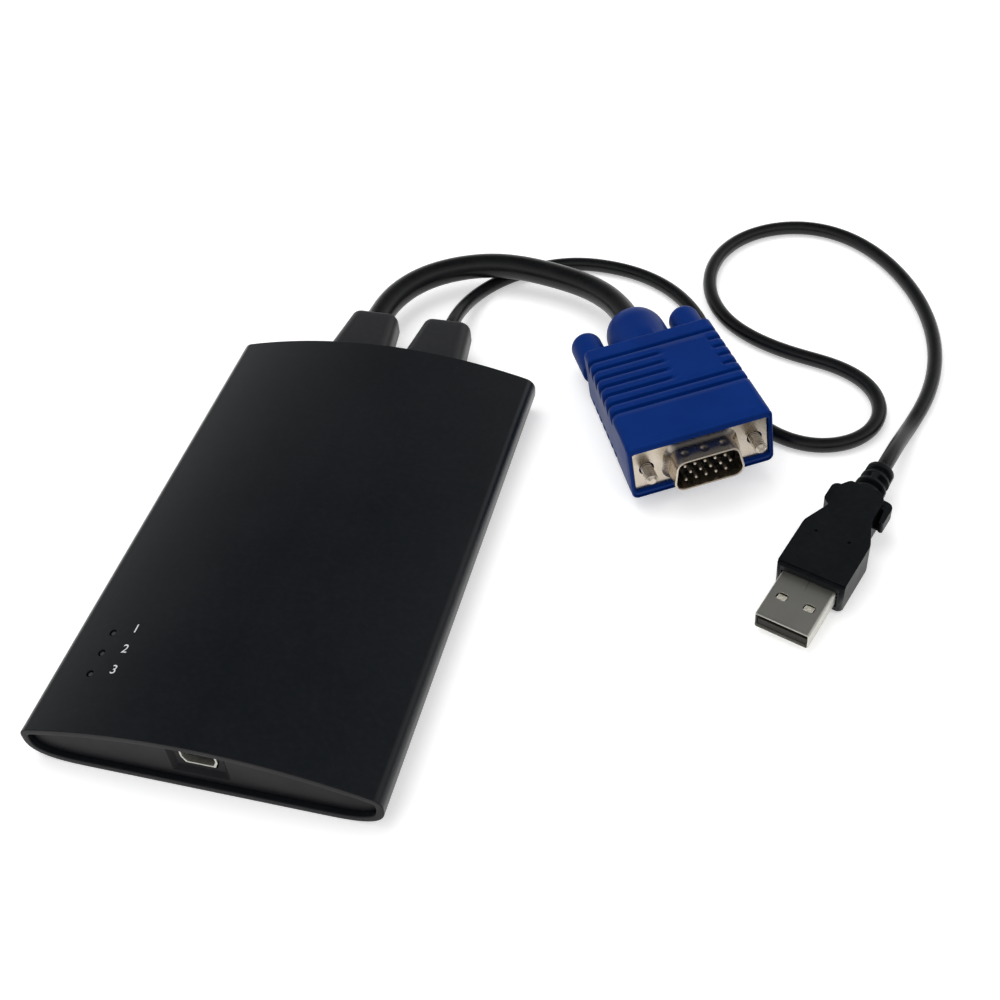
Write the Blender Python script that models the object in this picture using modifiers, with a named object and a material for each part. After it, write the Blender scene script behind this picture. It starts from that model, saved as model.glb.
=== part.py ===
# Crash cart adapter: a flat console case with a video lead and a bus lead.
# Metres, +Z up. The case lies along Y with its port at -Y and its two leads at +Y,
# and its flat bottom rests on Z = 0 with the origin under the middle of the case.
import math

import bmesh
import bpy
from mathutils import Euler, Matrix, Vector

GAP = 0.0003                      # clearance between two pieces that touch

# Case sleeve, an extruded tube with a crowned top
CASE_WIDTH = 0.0750
CASE_LENGTH = 0.1170
CASE_HEIGHT = 0.0145
CASE_WAIST = 0.47 * CASE_HEIGHT   # height of the widest line of the section
CASE_WALL = 0.0016
CASE_CORNER = 0.0028              # radius between the sides and the crown
FLAT_WIDTH = 0.64 * CASE_WIDTH    # flat part of the bottom
BELLY_POWER = 3.0                 # squareness of the curve from the flat to the waist
RIM_ROUND = 0.0004

# End plates, set back inside the rims of the sleeve
PLATE_SETBACK = 0.0012
PLATE_THICKNESS = 0.0018
SKIRT_DEPTH = 0.0040
SKIRT_WALL = 0.0012
SKIRT_HALF_SPAN = 0.40 * CASE_WIDTH    # the skirts stop here, clear of the board's rails
END_SCREW_SPACING = 0.64 * CASE_WIDTH
END_SCREW_HEAD_RADIUS = 0.0017
END_SCREW_HEAD_HEIGHT = 0.0008
END_SCREW_CROWN_RADIUS = 0.0012    # flat top of the domed head
END_SCREW_RADIUS = 0.0011
END_SCREW_LENGTH = 0.0080
SCREW_BOSS_RADIUS = 0.0023
SCREW_BOSS_LENGTH = 0.0110
SCREW_BOSS_MERGE = 0.0002         # how far a boss sinks into the top wall

# Main board and the rails that hold it
BOARD_THICKNESS = 0.0016
BOARD_TOP = 0.41 * CASE_HEIGHT
BOARD_EDGE_GAP = 0.0009
LEAD_SPACE = 0.0095               # room for the leads behind the board
HEADER_SETBACK = 0.0040           # middle of the lead headers in front of the board's rear edge
HEADER_DEPTH = 0.0056
HEADER_HEIGHT = 0.0044
HEADER_WIDTHS = (0.0170, 0.0100)  # video, bus
HARNESS_THICKNESSES = (0.0040, 0.0026)

# Packages on the board: size, and place as a share of the board's half width and half length
CONTROLLER_CHIP = (0.0200, 0.0200, 0.0014)
CONTROLLER_PLACE = (0.11, -0.10)
CONVERTER_CHIP = (0.0140, 0.0140, 0.0014)
CONVERTER_PLACE = (-0.26, 0.45)
MEMORY_CHIP = (0.0222, 0.0102, 0.0011)
MEMORY_PLACE = (0.23, -0.54)
BUS_CHIP = (0.0070, 0.0070, 0.0010)
BUS_CHIP_PLACE = (0.46, 0.52)
CRYSTAL = (0.0110, 0.0046, 0.0026)
CRYSTAL_PLACE = (0.66, -0.06)
REGULATOR = (0.0066, 0.0036, 0.0016)
REGULATOR_PLACE = (-0.57, -0.10)
PACKAGE_DRAFT = 0.0002
RAIL_THICKNESS = 0.0009
RAIL_REACH = 0.0022
RAIL_SINK = 0.0006                # how far a rail sinks into the side wall

# Mini port on the front edge of the board
PORT_WIDTH = 0.0077
PORT_HEIGHT = 0.0040
PORT_NARROW_WIDTH = 0.0062        # width of the lower side
PORT_STEP_HEIGHT = 0.0018         # height at which the sides start to lean in
PORT_WALL = 0.0004
PORT_DEPTH = 0.0090
PORT_BASE_DEPTH = 0.0027          # solid rear part of the insert
PORT_SETBACK = 0.0007             # mouth of the port behind the face of the plate
PORT_TONGUE_WIDTH = 0.0040
PORT_TONGUE_HEIGHT = 0.0010
POCKET_WIDTH = 0.0122
POCKET_DROP = 0.0045              # lower edge of the pocket below the middle of the port
POCKET_RISE = 0.0037              # upper edge above it
POCKET_DEPTH = 0.0009
POCKET_CHAMFER = 0.0010
POCKET_CORNER = 0.0004

# Status lights under the top
LIGHT_X = -0.373 * CASE_WIDTH
LIGHT_FIRST_Y = -0.292 * CASE_LENGTH
LIGHT_PITCH = 0.0052
LIGHT_COUNT = 3
LIGHT_HOLE_RADIUS = 0.0008
LIGHT_GUIDE_WIDTH = 0.0030
LIGHT_GUIDE_THICKNESS = 0.0010
LIGHT_GUIDE_SINK = 0.0003         # guide tips below the outer skin
LED_SIZE = (0.0016, 0.0012, 0.0007)

# Boots of the two leads on the rear plate
BOOT_HEIGHT_Z = 0.49 * CASE_HEIGHT
VIDEO_BOOT_X = -0.0080
BUS_BOOT_X = 0.0110
BOOT_WIDTH = 0.0160
BOOT_HEIGHT = 0.0086
BOOT_END_WIDTH = 0.0124
BOOT_END_HEIGHT = 0.0080
BOOT_LENGTH = 0.0166              # from the rear rim of the sleeve
BOOT_ROUND = 0.0028
BOOT_NECK_INSET = 0.0012          # neck inside the plate, smaller than the boot
BOOT_FLANGE = 0.0015              # thickness of the lip that holds the boot behind the plate
BOOT_LIP = 0.0006                 # how far that lip stands out round the neck
BOOT_END_ROUND = 0.0012

# Leads
VIDEO_CORD_DIAMETER = 0.0064
BUS_CORD_DIAMETER = 0.0035
THIN_CORD = 0.0040                # cords under this diameter get fewer sides
CORD_STEP = 0.0060                # spacing of the points along a cord
CORD_LEAD_IN = 0.0030             # straight length at each end
CORD_STEER = 0.0050               # distance behind that of the point which steers the first bend
CORD_LIFT = 0.00005               # lowest line of a cord above the surface
VIDEO_ROUTE = (
    (-7.3, 83.6, 7.1), (-4.7, 90.0, 7.1), (-0.4, 95.5, 7.1), (5.3, 99.5, 7.1), (11.8, 102.1, 7.2),
    (18.6, 103.1, 7.3), (25.6, 102.7, 7.2), (32.5, 101.5, 7.0), (39.2, 99.6, 7.0), (45.3, 96.4, 7.3),
    (50.5, 91.8, 7.7),
)
BUS_ROUTE = (
    (11.0, 85.6, 5.3), (12.2, 95.3, 2.7), (16.9, 103.9, 1.8), (24.8, 110.2, 1.8), (34.0, 114.1, 1.8),
    (44.0, 114.4, 1.8), (53.8, 112.1, 1.8), (62.4, 107.0, 1.8), (69.1, 99.6, 1.8), (74.0, 90.7, 1.8),
    (78.1, 81.6, 1.8), (82.3, 72.4, 1.8), (87.7, 64.0, 1.8), (95.7, 57.9, 1.8), (105.5, 56.5, 1.8),
    (114.3, 61.1, 1.8), (117.9, 70.2, 1.8), (114.5, 79.5, 1.8), (106.3, 85.0, 1.8), (96.5, 87.4, 1.8),
    (87.1, 90.9, 1.8), (78.8, 96.6, 1.8), (73.1, 104.8, 1.8), (70.7, 114.5, 1.8), (71.9, 124.5, 1.8),
    (76.9, 133.1, 1.8), (85.1, 138.8, 1.8), (94.9, 140.5, 1.8), (104.5, 137.7, 1.8), (112.5, 131.6, 1.8),
    (118.8, 123.8, 1.8), (123.7, 115.0, 1.8), (127.1, 105.5, 1.8), (128.9, 95.6, 1.8), (129.0, 85.6, 1.8),
    (127.4, 75.6, 1.8), (124.3, 66.1, 1.8), (121.9, 56.9, 4.9),
)

# Video plug: x to the right, -y towards the mating face, z up
VIDEO_PLUG_PLACE = (0.0800, 0.0391, 0.0119)
VIDEO_PLUG_YAW = 28.6
VIDEO_PLUG_PITCH = -4.0
VIDEO_PLUG_ROLL = -4.6
HOOD_WIDTH = 0.0332
HOOD_HEIGHT = 0.0148
HOOD_FRONT = -0.0010
HOOD_REAR = 0.0365
HOOD_REAR_WIDTH = 0.0312
HOOD_ROUND = 0.0016
HOOD_FRONT_EDGE = 0.0006
HOOD_REAR_EDGE = 0.0009
HOOD_BOSS_RADIUS = 0.0076
HOOD_BOSS_HEIGHT = 0.0142
HOOD_BOSS_REAR = 0.0520
HOOD_BOSS_SIDES = 24
# share of the boss's length behind the hood, and of its full width there
HOOD_BOSS_SHAPE = ((-0.15, 1.0), (0.0, 1.0), (0.50, 0.97), (0.76, 0.88), (0.92, 0.72), (1.0, 0.52))
GROOVE_COUNT = 7
GROOVE_FIRST_Y = 0.0123
GROOVE_PITCH = 0.00325
GROOVE_WIDTH = 0.0016
GROOVE_DEPTH = 0.0007
FULL_GROOVES = (0, 1, 6)          # these run right across
GROOVE_SIDE_DROP = 0.0027         # how far down the sides each groove runs
PATCH_LEFT_X = 0.0020             # plain patch that the middle grooves stop at
PATCH_RIGHT_X = 0.0120
FLANGE_WIDTH = 0.0308
FLANGE_HEIGHT = 0.0125
FLANGE_THICKNESS = 0.0008
FLANGE_ROUND = 0.0010
FLANGE_WINDOW_HEIGHT = 0.0112     # height of the flange that the hood leaves open
FLANGE_WINDOW_ROUND = 0.0008
SCREW_SPACING = 0.0250
FLANGE_HOLE_RADIUS = 0.00175
SHELL_WIDE = 0.01692
SHELL_HEIGHT = 0.00836
SHELL_LEAN = 10.0                 # degrees that the short sides lean in
SHELL_ROUND = 0.0024
SHELL_DEPTH = 0.0059
SHELL_WALL = 0.0005
# flare at the foot of the shell: place behind the flange's face, and growth of the outline
SHELL_FOOT = ((0.0004, 0.0009), (0.0, 0.0009), (-0.0004, 0.00025), (-0.0009, 0.0))
SHELL_DIMPLE_RADIUS = 0.0011
SHELL_DIMPLE_DEPTH = 0.0003
SHELL_DIMPLE_PITCH = 0.0044
SHELL_DIMPLE_Y = -0.0032
INSULATOR_FRONT = 0.0010          # face of the insulator in front of the flange
INSULATOR_REAR = 0.0070
PIN_RADIUS = 0.00038
PIN_PITCH = 0.00229
PIN_ROW_PITCH = 0.00198
PIN_COLUMNS = 5
PIN_SIDES = 10
PIN_TIP = 0.0051
PIN_TIP_RADIUS = 0.00023
PIN_NOSE = 0.00045                # length of the rounded nose
PIN_TAIL = 0.0090
THUMBSCREW_RADIUS = 0.0014
THUMBSCREW_TIP = 0.0046
THUMBSCREW_POINT = 0.0007         # length and end radius of the tapered point
KNOB_RADIUS = 0.0038
KNOB_LENGTH = 0.0131
KNOB_DOME = 0.0026
KNOB_DOME_STEPS = 4
KNOB_EDGE = 0.00035

# Bus plug: x to the right, -y towards the mating face, z up
BUS_PLUG_PLACE = (0.1029, -0.0001, 0.0036)
BUS_PLUG_YAW = -19.0
BUS_PLUG_PITCH = 3.0
BUS_SHELL_WIDTH = 0.0120
BUS_SHELL_HEIGHT = 0.0045
BUS_SHELL_WALL = 0.0003
BUS_SHELL_ROUND = 0.0006
BUS_SHELL_LENGTH = 0.0125
BUS_SHELL_BURIED = 0.0060
BUS_WINDOW_WIDTH = 0.0025
BUS_WINDOW_LENGTH = 0.0020
BUS_WINDOW_X = 0.0030
BUS_WINDOW_Y = 0.0064
TONGUE_WIDTH = 0.0108
TONGUE_HEIGHT = 0.0018
TONGUE_SETBACK = 0.0006
CONTACT_WIDTH = 0.0010
CONTACT_THICKNESS = 0.0003
CONTACT_SETBACK = 0.0014          # behind the front of the tongue
CONTACT_TAIL = 0.0020             # in front of its rear
CONTACT_PLACES = (-0.0035, -0.0010, 0.0010, 0.0035)
GRIP_WIDTH = 0.0150
GRIP_HEIGHT = 0.0080
GRIP_SHOULDER_Y = 0.0258
GRIP_NECK_Y = 0.0312
GRIP_NECK_WIDTH = 0.0108
GRIP_WING_WIDTH = 0.0138
GRIP_WING_LENGTH = 0.0068
GRIP_REAR = 0.0405
GRIP_TAIL = 0.0016                # from the rear of the wings to the rear of the grip
GRIP_ROUND = 0.0009
GRIP_FRONT_ROUND = 0.0006
GRIP_SHOULDER_ROUND = 0.0040
GRIP_NECK_ROUND = 0.0009
GRIP_WING_ROUND = 0.0013
GRIP_LEDGE_LENGTH = 0.0011        # step down to the metal shell
GRIP_LEDGE_DEPTH = 0.0004
HOOK_SLOT_X = 0.0053              # hollow behind the hook of the right wing
HOOK_SLOT_WIDTH = 0.0010
HOOK_SLOT_LENGTH = 0.0046
HOOK_SLOT_ROUND = 0.00048
RELIEF_RADIUS = 0.0035
RELIEF_END_RADIUS = 0.0029
RELIEF_REAR = 0.0496
RELIEF_RINGS = 3
RELIEF_GROOVE = 0.0008
RELIEF_LEAD = 0.0032              # how far the relief starts inside the grip
# one ring of the relief: share of its pitch, and share of the groove's depth there
RELIEF_RING = ((0.30, 1.0), (0.42, 0.0), (0.88, 0.0), (1.0, 1.0))

MILLIMETRE = 0.001
CORNER_STEPS = 5
ROUND_STEPS = 16


def clear_scene():
    for item in list(bpy.data.objects):
        bpy.data.objects.remove(item, do_unlink=True)


def new_collection(name):
    collection = bpy.data.collections.new(name)
    bpy.context.scene.collection.children.link(collection)
    return collection


def make_material(name, colour, roughness, metallic=0.0):
    material = bpy.data.materials.new(name)
    material.use_nodes = True
    shader = material.node_tree.nodes["Principled BSDF"]
    shader.inputs["Base Color"].default_value = (*colour, 1.0)
    shader.inputs["Roughness"].default_value = roughness
    shader.inputs["Metallic"].default_value = metallic
    return material


clear_scene()
PARTS = new_collection("crash_cart_adapter")
CUTTERS = new_collection("cutters")

BLACK_SLEEVE = make_material("sleeve_black", (0.012, 0.014, 0.017), 0.40)
BLACK_PLASTIC = make_material("black_plastic", (0.016, 0.016, 0.018), 0.50)
BLACK_VINYL = make_material("black_vinyl", (0.014, 0.014, 0.015), 0.38)
BLUE_VINYL = make_material("blue_vinyl", (0.004, 0.045, 0.260), 0.36)
NICKEL = make_material("nickel", (0.62, 0.58, 0.50), 0.28, 1.0)
TINPLATE = make_material("tinplate", (0.60, 0.60, 0.57), 0.26, 1.0)
GOLD = make_material("gold_plate", (0.83, 0.62, 0.25), 0.25, 1.0)
BOARD_GREEN = make_material("board_green", (0.010, 0.090, 0.035), 0.45)
CHIP_BLACK = make_material("chip_black", (0.010, 0.010, 0.011), 0.55)
HEADER_WHITE = make_material("header_white", (0.72, 0.70, 0.62), 0.50)
CLEAR_GUIDE = make_material("light_guide", (0.55, 0.58, 0.55), 0.15)
STEEL = make_material("screw_steel", (0.45, 0.45, 0.44), 0.32, 1.0)


def add_object(name, mesh, material, parent=None):
    item = bpy.data.objects.new(name, mesh)
    if material is None:
        CUTTERS.objects.link(item)
        item.hide_render = True
        item.display_type = "WIRE"
    else:
        PARTS.objects.link(item)
        mesh.materials.clear()
        mesh.materials.append(material)
    item.parent = parent
    return item


def mesh_from(build, name):
    mesh = bpy.data.meshes.new(name)
    shape = bmesh.new()
    build(shape)
    bmesh.ops.recalc_face_normals(shape, faces=shape.faces)
    shape.to_mesh(mesh)
    shape.free()
    return mesh


def add_box(name, size, centre, material, parent=None):
    def build(shape):
        bmesh.ops.create_cube(shape, size=1.0)
        bmesh.ops.scale(shape, vec=size, verts=shape.verts)
        bmesh.ops.translate(shape, vec=centre, verts=shape.verts)
    return add_object(name, mesh_from(build, name), material, parent)


def add_cylinder(name, radius, start, end, material, parent=None, steps=ROUND_STEPS):
    start, end = Vector(start), Vector(end)
    axis = end - start
    turn = Vector((0.0, 0.0, 1.0)).rotation_difference(axis).to_matrix().to_4x4()

    def build(shape):
        bmesh.ops.create_cone(shape, cap_ends=True, segments=steps, radius1=radius, radius2=radius,
                              depth=axis.length)
        bmesh.ops.transform(shape, matrix=Matrix.Translation((start + end) / 2) @ turn, verts=shape.verts)
    item = add_object(name, mesh_from(build, name), material, parent)
    item.data.set_sharp_from_angle(angle=math.radians(40))
    return item


def add_loft(name, rings, material, parent=None):
    """Closed skin through rings that all have the same number of points."""
    def build(shape):
        loops = [[shape.verts.new(point) for point in ring] for ring in rings]
        count = len(loops[0])
        for lower, upper in zip(loops, loops[1:]):
            for k in range(count):
                shape.faces.new((lower[k], lower[(k + 1) % count], upper[(k + 1) % count], upper[k]))
        shape.faces.new(loops[0])
        shape.faces.new(loops[-1])
    item = add_object(name, mesh_from(build, name), material, parent)
    item.data.shade_smooth()
    item.data.set_sharp_from_angle(angle=math.radians(35))
    return item


def add_extrusion(name, loops, start, end, material, parent=None):
    """Flat outlines in X and Z, the first one outside and the rest holes, extruded along Y."""
    curve = bpy.data.curves.new(name, "CURVE")
    curve.dimensions = "2D"
    curve.fill_mode = "BOTH"
    curve.extrude = (end - start) / 2
    for loop in loops:
        spline = curve.splines.new("POLY")
        spline.points.add(len(loop) - 1)
        for point, (x, z) in zip(spline.points, loop):
            point.co = (x, z, 0.0, 1.0)
        spline.use_cyclic_u = True
    guide = bpy.data.objects.new(name + "_outline", curve)
    CUTTERS.objects.link(guide)
    upright = Matrix.Translation((0.0, (start + end) / 2, 0.0)) @ Matrix.Rotation(math.radians(90), 4, "X")
    bpy.context.view_layer.update()
    mesh = bpy.data.meshes.new_from_object(guide.evaluated_get(bpy.context.evaluated_depsgraph_get()))
    bpy.data.objects.remove(guide)
    shape = bmesh.new()
    shape.from_mesh(mesh)
    bmesh.ops.remove_doubles(shape, verts=shape.verts, dist=1e-6)
    bmesh.ops.transform(shape, matrix=upright, verts=shape.verts)
    bmesh.ops.recalc_face_normals(shape, faces=shape.faces)
    shape.to_mesh(mesh)
    shape.free()
    mesh.name = name
    return add_object(name, mesh, material, parent)


def add_turned(name, profile, material, parent=None, steps=ROUND_STEPS):
    """Profile of (radius, y) points from the front tip to the rear, turned about the Y axis."""
    mesh = bpy.data.meshes.new(name)
    points = [(radius, y, 0.0) for radius, y in reversed(profile)]
    mesh.from_pydata(points, [(k, k + 1) for k in range(len(points) - 1)], [])
    item = add_object(name, mesh, material, parent)
    screw = item.modifiers.new("turn", "SCREW")
    screw.axis = "Y"
    screw.steps = screw.render_steps = steps
    screw.use_merge_vertices = True
    screw.merge_threshold = 1e-6
    screw.use_smooth_shade = True
    return item


def apply_modifiers(item):
    """Freezes an object's modifiers into its mesh, with its faces turned outwards."""
    bpy.context.view_layer.update()
    mesh = bpy.data.meshes.new_from_object(item.evaluated_get(bpy.context.evaluated_depsgraph_get()))
    item.modifiers.clear()
    shape = bmesh.new()
    shape.from_mesh(mesh)
    bmesh.ops.recalc_face_normals(shape, faces=shape.faces)
    shape.to_mesh(mesh)
    shape.free()
    item.data = mesh
    return item


def combine(item, other, operation):
    """Joins or cuts an object with another, which stays as a wire guide."""
    modifier = item.modifiers.new(other.name, "BOOLEAN")
    modifier.operation = operation
    modifier.object = other
    modifier.solver = "EXACT"
    return item


def bevel(item, width, segments=2, angle=40):
    modifier = item.modifiers.new("rounded_edges", "BEVEL")
    modifier.width = width
    modifier.segments = segments
    modifier.limit_method = "ANGLE"
    modifier.angle_limit = math.radians(angle)
    modifier.use_clamp_overlap = True
    return item


def add_frame(name, place, yaw, pitch, roll):
    """Empty whose axes a plug is built on."""
    frame = bpy.data.objects.new(name, None)
    PARTS.objects.link(frame)
    turn = (Matrix.Rotation(math.radians(yaw), 4, "Z") @ Matrix.Rotation(math.radians(pitch), 4, "X")
            @ Matrix.Rotation(math.radians(roll), 4, "Y"))
    frame.matrix_world = Matrix.Translation(place) @ turn
    bpy.context.view_layer.update()
    return frame


def rounded_rectangle(half_width, half_height, radius, steps=CORNER_STEPS, centre=(0.0, 0.0)):
    points = []
    for quarter, (sx, sz) in enumerate(((1, 1), (-1, 1), (-1, -1), (1, -1))):
        for k in range(steps + 1):
            angle = math.radians(90 * quarter + 90 * k / steps)
            points.append((centre[0] + sx * (half_width - radius) + radius * math.cos(angle),
                           centre[1] + sz * (half_height - radius) + radius * math.sin(angle)))
    return points


def circle(radius, centre, steps=ROUND_STEPS):
    return [(centre[0] + radius * math.cos(2 * math.pi * k / steps),
             centre[1] + radius * math.sin(2 * math.pi * k / steps)) for k in range(steps)]


def inset(loop, distance):
    """Moves a counter-clockwise outline inwards, each point along its own normal."""
    result = []
    count = len(loop)
    for k in range(count):
        before, after = Vector(loop[k - 1]), Vector(loop[(k + 1) % count])
        along = (after - before).normalized()
        result.append((loop[k][0] - along.y * distance, loop[k][1] + along.x * distance))
    return result


def edge_arc(end, radius, steps=2):
    """Places and insets of the rings that round a loft's last edge; a negative radius rounds a front edge."""
    turns = [math.radians(90 * k / steps) for k in range(steps + 1)]
    return [(end - radius * (1 - math.sin(turn)), abs(radius) * (1 - math.cos(turn))) for turn in turns]


def case_outline():
    """Section of the sleeve: a crowned top, tight corners, and a belly that falls to a flat."""
    half, corner = CASE_WIDTH / 2, CASE_CORNER
    tangent = math.atan2(CASE_WAIST - CASE_HEIGHT + CROWN_RADIUS, half - corner)
    flat = FLAT_WIDTH / 2
    right = []
    belly_steps, corner_steps, crown_steps = 8, 6, 10
    for k in range(belly_steps + 1):
        t = math.radians(90 * k / belly_steps)
        right.append((flat + (half - flat) * math.sin(t) ** (2 / BELLY_POWER),
                      CASE_WAIST * (1 - math.cos(t) ** (2 / BELLY_POWER))))
    for k in range(1, corner_steps + 1):
        t = tangent * k / corner_steps
        right.append((half - corner + corner * math.cos(t), CASE_WAIST + corner * math.sin(t)))
    for k in range(1, crown_steps):
        t = tangent + (math.pi / 2 - tangent) * k / crown_steps
        right.append((CROWN_RADIUS * math.cos(t), CASE_HEIGHT - CROWN_RADIUS + CROWN_RADIUS * math.sin(t)))
    left = [(-x, z) for x, z in reversed(right)]
    return right + [(0.0, CASE_HEIGHT)] + left


def crown_height(x):
    return CASE_HEIGHT - CROWN_RADIUS + math.sqrt(CROWN_RADIUS ** 2 - x ** 2)


# The crown passes through the middle of the top and is tangent to both corner arcs.
SHOULDER = CASE_HEIGHT - CASE_WAIST
CROWN_RADIUS = (((CASE_WIDTH / 2) ** 2 + SHOULDER ** 2 - CASE_CORNER * CASE_WIDTH)
                / (2 * (SHOULDER - CASE_CORNER)))
CASE_FRONT = -CASE_LENGTH / 2
CASE_REAR = CASE_LENGTH / 2
OUTLINE = case_outline()
INNER_OUTLINE = inset(OUTLINE, CASE_WALL)
PLATE_OUTLINE = inset(OUTLINE, CASE_WALL + GAP)
FRONT_FACE = CASE_FRONT + PLATE_SETBACK
REAR_FACE = CASE_REAR - PLATE_SETBACK
BOARD_MIDDLE = BOARD_TOP - BOARD_THICKNESS / 2
INNER_HALF = max(x for x, z in INNER_OUTLINE)
BOARD_FRONT = FRONT_FACE + PLATE_THICKNESS + GAP
BOARD_REAR = REAR_FACE - PLATE_THICKNESS - LEAD_SPACE
RAIL_FRONT = FRONT_FACE + PLATE_THICKNESS + SKIRT_DEPTH + GAP
BOARD_HALF = INNER_HALF - BOARD_EDGE_GAP
SCREW_X = END_SCREW_SPACING / 2
SCREW_Z = crown_height(SCREW_X) - CASE_WALL - SCREW_BOSS_RADIUS + SCREW_BOSS_MERGE
PLATE_BACK = REAR_FACE - PLATE_THICKNESS
PORT_Z = BOARD_TOP + GAP + PORT_HEIGHT / 2


def add_spline(name, points, diameter, material):
    """Round cord through points, as a chain of short straight stretches."""
    curve = bpy.data.curves.new(name, "CURVE")
    curve.dimensions = "3D"
    curve.bevel_depth = diameter / 2
    curve.bevel_resolution = 2 if diameter < THIN_CORD else 3
    curve.use_fill_caps = True
    spline = curve.splines.new("POLY")
    spline.points.add(len(points) - 1)
    for target, point in zip(spline.points, points):
        target.co = (*point, 1.0)
    item = bpy.data.objects.new(name, curve)
    PARTS.objects.link(item)
    curve.materials.append(material)
    return item


def smooth_curve(points, steps=24):
    """Catmull-Rom curve as a dense line; the first and the last point only steer its ends."""
    line = []
    for a, b, c, d in zip(points, points[1:], points[2:], points[3:]):
        for k in range(steps):
            t = k / steps
            line.append(0.5 * (2 * b + (c - a) * t + (2 * a - 5 * b + 4 * c - d) * t * t
                               + (3 * b - a - 3 * c + d) * t ** 3))
    line.append(points[-2])
    return line


def even_points(line, step):
    """Points at an even distance along a dense line, both ends kept."""
    lengths = [0.0]
    for a, b in zip(line, line[1:]):
        lengths.append(lengths[-1] + (b - a).length)
    count = max(2, round(lengths[-1] / step))
    result = []
    at = 0
    for k in range(count + 1):
        target = lengths[-1] * k / count
        while at < len(line) - 2 and lengths[at + 1] < target:
            at += 1
        span = lengths[at + 1] - lengths[at]
        result.append(line[at].lerp(line[at + 1], (target - lengths[at]) / span))
    return result


def add_cord(name, boot_x, route, plug_axes, plug_rear, diameter, material):
    """Cord from a boot to the rear of a plug, straight for a moment at both ends."""
    boot_mouth = CASE_REAR + BOOT_LENGTH + GAP
    plug_mouth = plug_rear + GAP
    reaches = (0.0, CORD_LEAD_IN, CORD_LEAD_IN - CORD_STEER)
    start, lead, steer = (Vector((boot_x, boot_mouth + reach, BOOT_HEIGHT_Z)) for reach in reaches)
    end, end_lead, end_steer = (plug_axes.matrix_world @ Vector((0.0, plug_mouth + reach, 0.0))
                                for reach in reaches)
    points = [steer, lead] + [Vector(point) * MILLIMETRE for point in route] + [end_lead, end_steer]
    line = even_points(smooth_curve(points), CORD_STEP)
    for point in line:
        point.z = max(point.z, diameter / 2 + CORD_LIFT)
    return add_spline(name, [start] + line + [end], diameter, material)


def build_sleeve():
    sleeve = add_extrusion("case_sleeve", [OUTLINE, INNER_OUTLINE], CASE_FRONT, CASE_REAR, BLACK_SLEEVE)
    bevel(sleeve, RIM_ROUND, 2, 60)
    rail_z = (BOARD_TOP + GAP + RAIL_THICKNESS / 2,
              BOARD_TOP - BOARD_THICKNESS - GAP - RAIL_THICKNESS / 2)
    rail_width = RAIL_REACH + RAIL_SINK
    for side, sign in (("left", -1), ("right", 1)):
        for level, z in zip(("upper", "lower"), rail_z):
            x = sign * (INNER_HALF - RAIL_REACH + rail_width / 2)
            rail = add_box(f"{side}_{level}_rail", (rail_width, -2 * RAIL_FRONT, RAIL_THICKNESS),
                           (x, 0.0, z), None)
            combine(sleeve, rail, "UNION")
        boss_start = PLATE_BACK - GAP
        screw_x = sign * SCREW_X
        boss = add_cylinder(f"{side}_screw_boss", SCREW_BOSS_RADIUS, (screw_x, boss_start, SCREW_Z),
                            (screw_x, boss_start - SCREW_BOSS_LENGTH, SCREW_Z), None)
        combine(sleeve, boss, "UNION")
        bore = add_cylinder(f"{side}_screw_bore", END_SCREW_RADIUS + GAP, (screw_x, CASE_REAR, SCREW_Z),
                            (screw_x, PLATE_BACK - END_SCREW_LENGTH, SCREW_Z), None, steps=12)
        combine(sleeve, bore, "DIFFERENCE")
    for k in range(LIGHT_COUNT):
        y = -k * LIGHT_PITCH
        hole = add_cylinder(f"light_hole_{k + 1}", LIGHT_HOLE_RADIUS, (0.0, y, -2 * CASE_WALL),
                            (0.0, y, CASE_WALL), None, LIGHT_AXES, steps=12)
        combine(sleeve, hole, "DIFFERENCE")
    return apply_modifiers(sleeve)


def skirt_outline(upper):
    """Strip of the plate's own outline, along its top or its bottom."""
    sign = 1 if upper else -1
    edge = sorted((x, z) for x, z in PLATE_OUTLINE
                  if abs(x) < SKIRT_HALF_SPAN and sign * (z - CASE_WAIST) > 0)
    return edge + [(x, z - sign * SKIRT_WALL) for x, z in reversed(edge)]


def plate_blank(name, front, rear, skirt_start, skirt_end, skirts):
    """End plate with thin skirts on its inner side."""
    plate = add_extrusion(name, [PLATE_OUTLINE], front, rear, BLACK_PLASTIC)
    for upper in skirts:
        strip = add_extrusion(f"{name}_skirt_{upper}", [skirt_outline(upper)], skirt_start, skirt_end, None)
        combine(plate, strip, "UNION")
    return plate


def port_outline(offset=0.0):
    """Mouth of the mini port: a wide top half and sides that lean in below."""
    half, narrow = PORT_WIDTH / 2 + offset, PORT_NARROW_WIDTH / 2 + offset
    top, bottom = PORT_Z + PORT_HEIGHT / 2 + offset, PORT_Z - PORT_HEIGHT / 2 - offset
    step = PORT_Z - PORT_HEIGHT / 2 + PORT_STEP_HEIGHT
    return [(narrow, bottom), (half, step), (half, top), (-half, top), (-half, step), (-narrow, bottom)]


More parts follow.
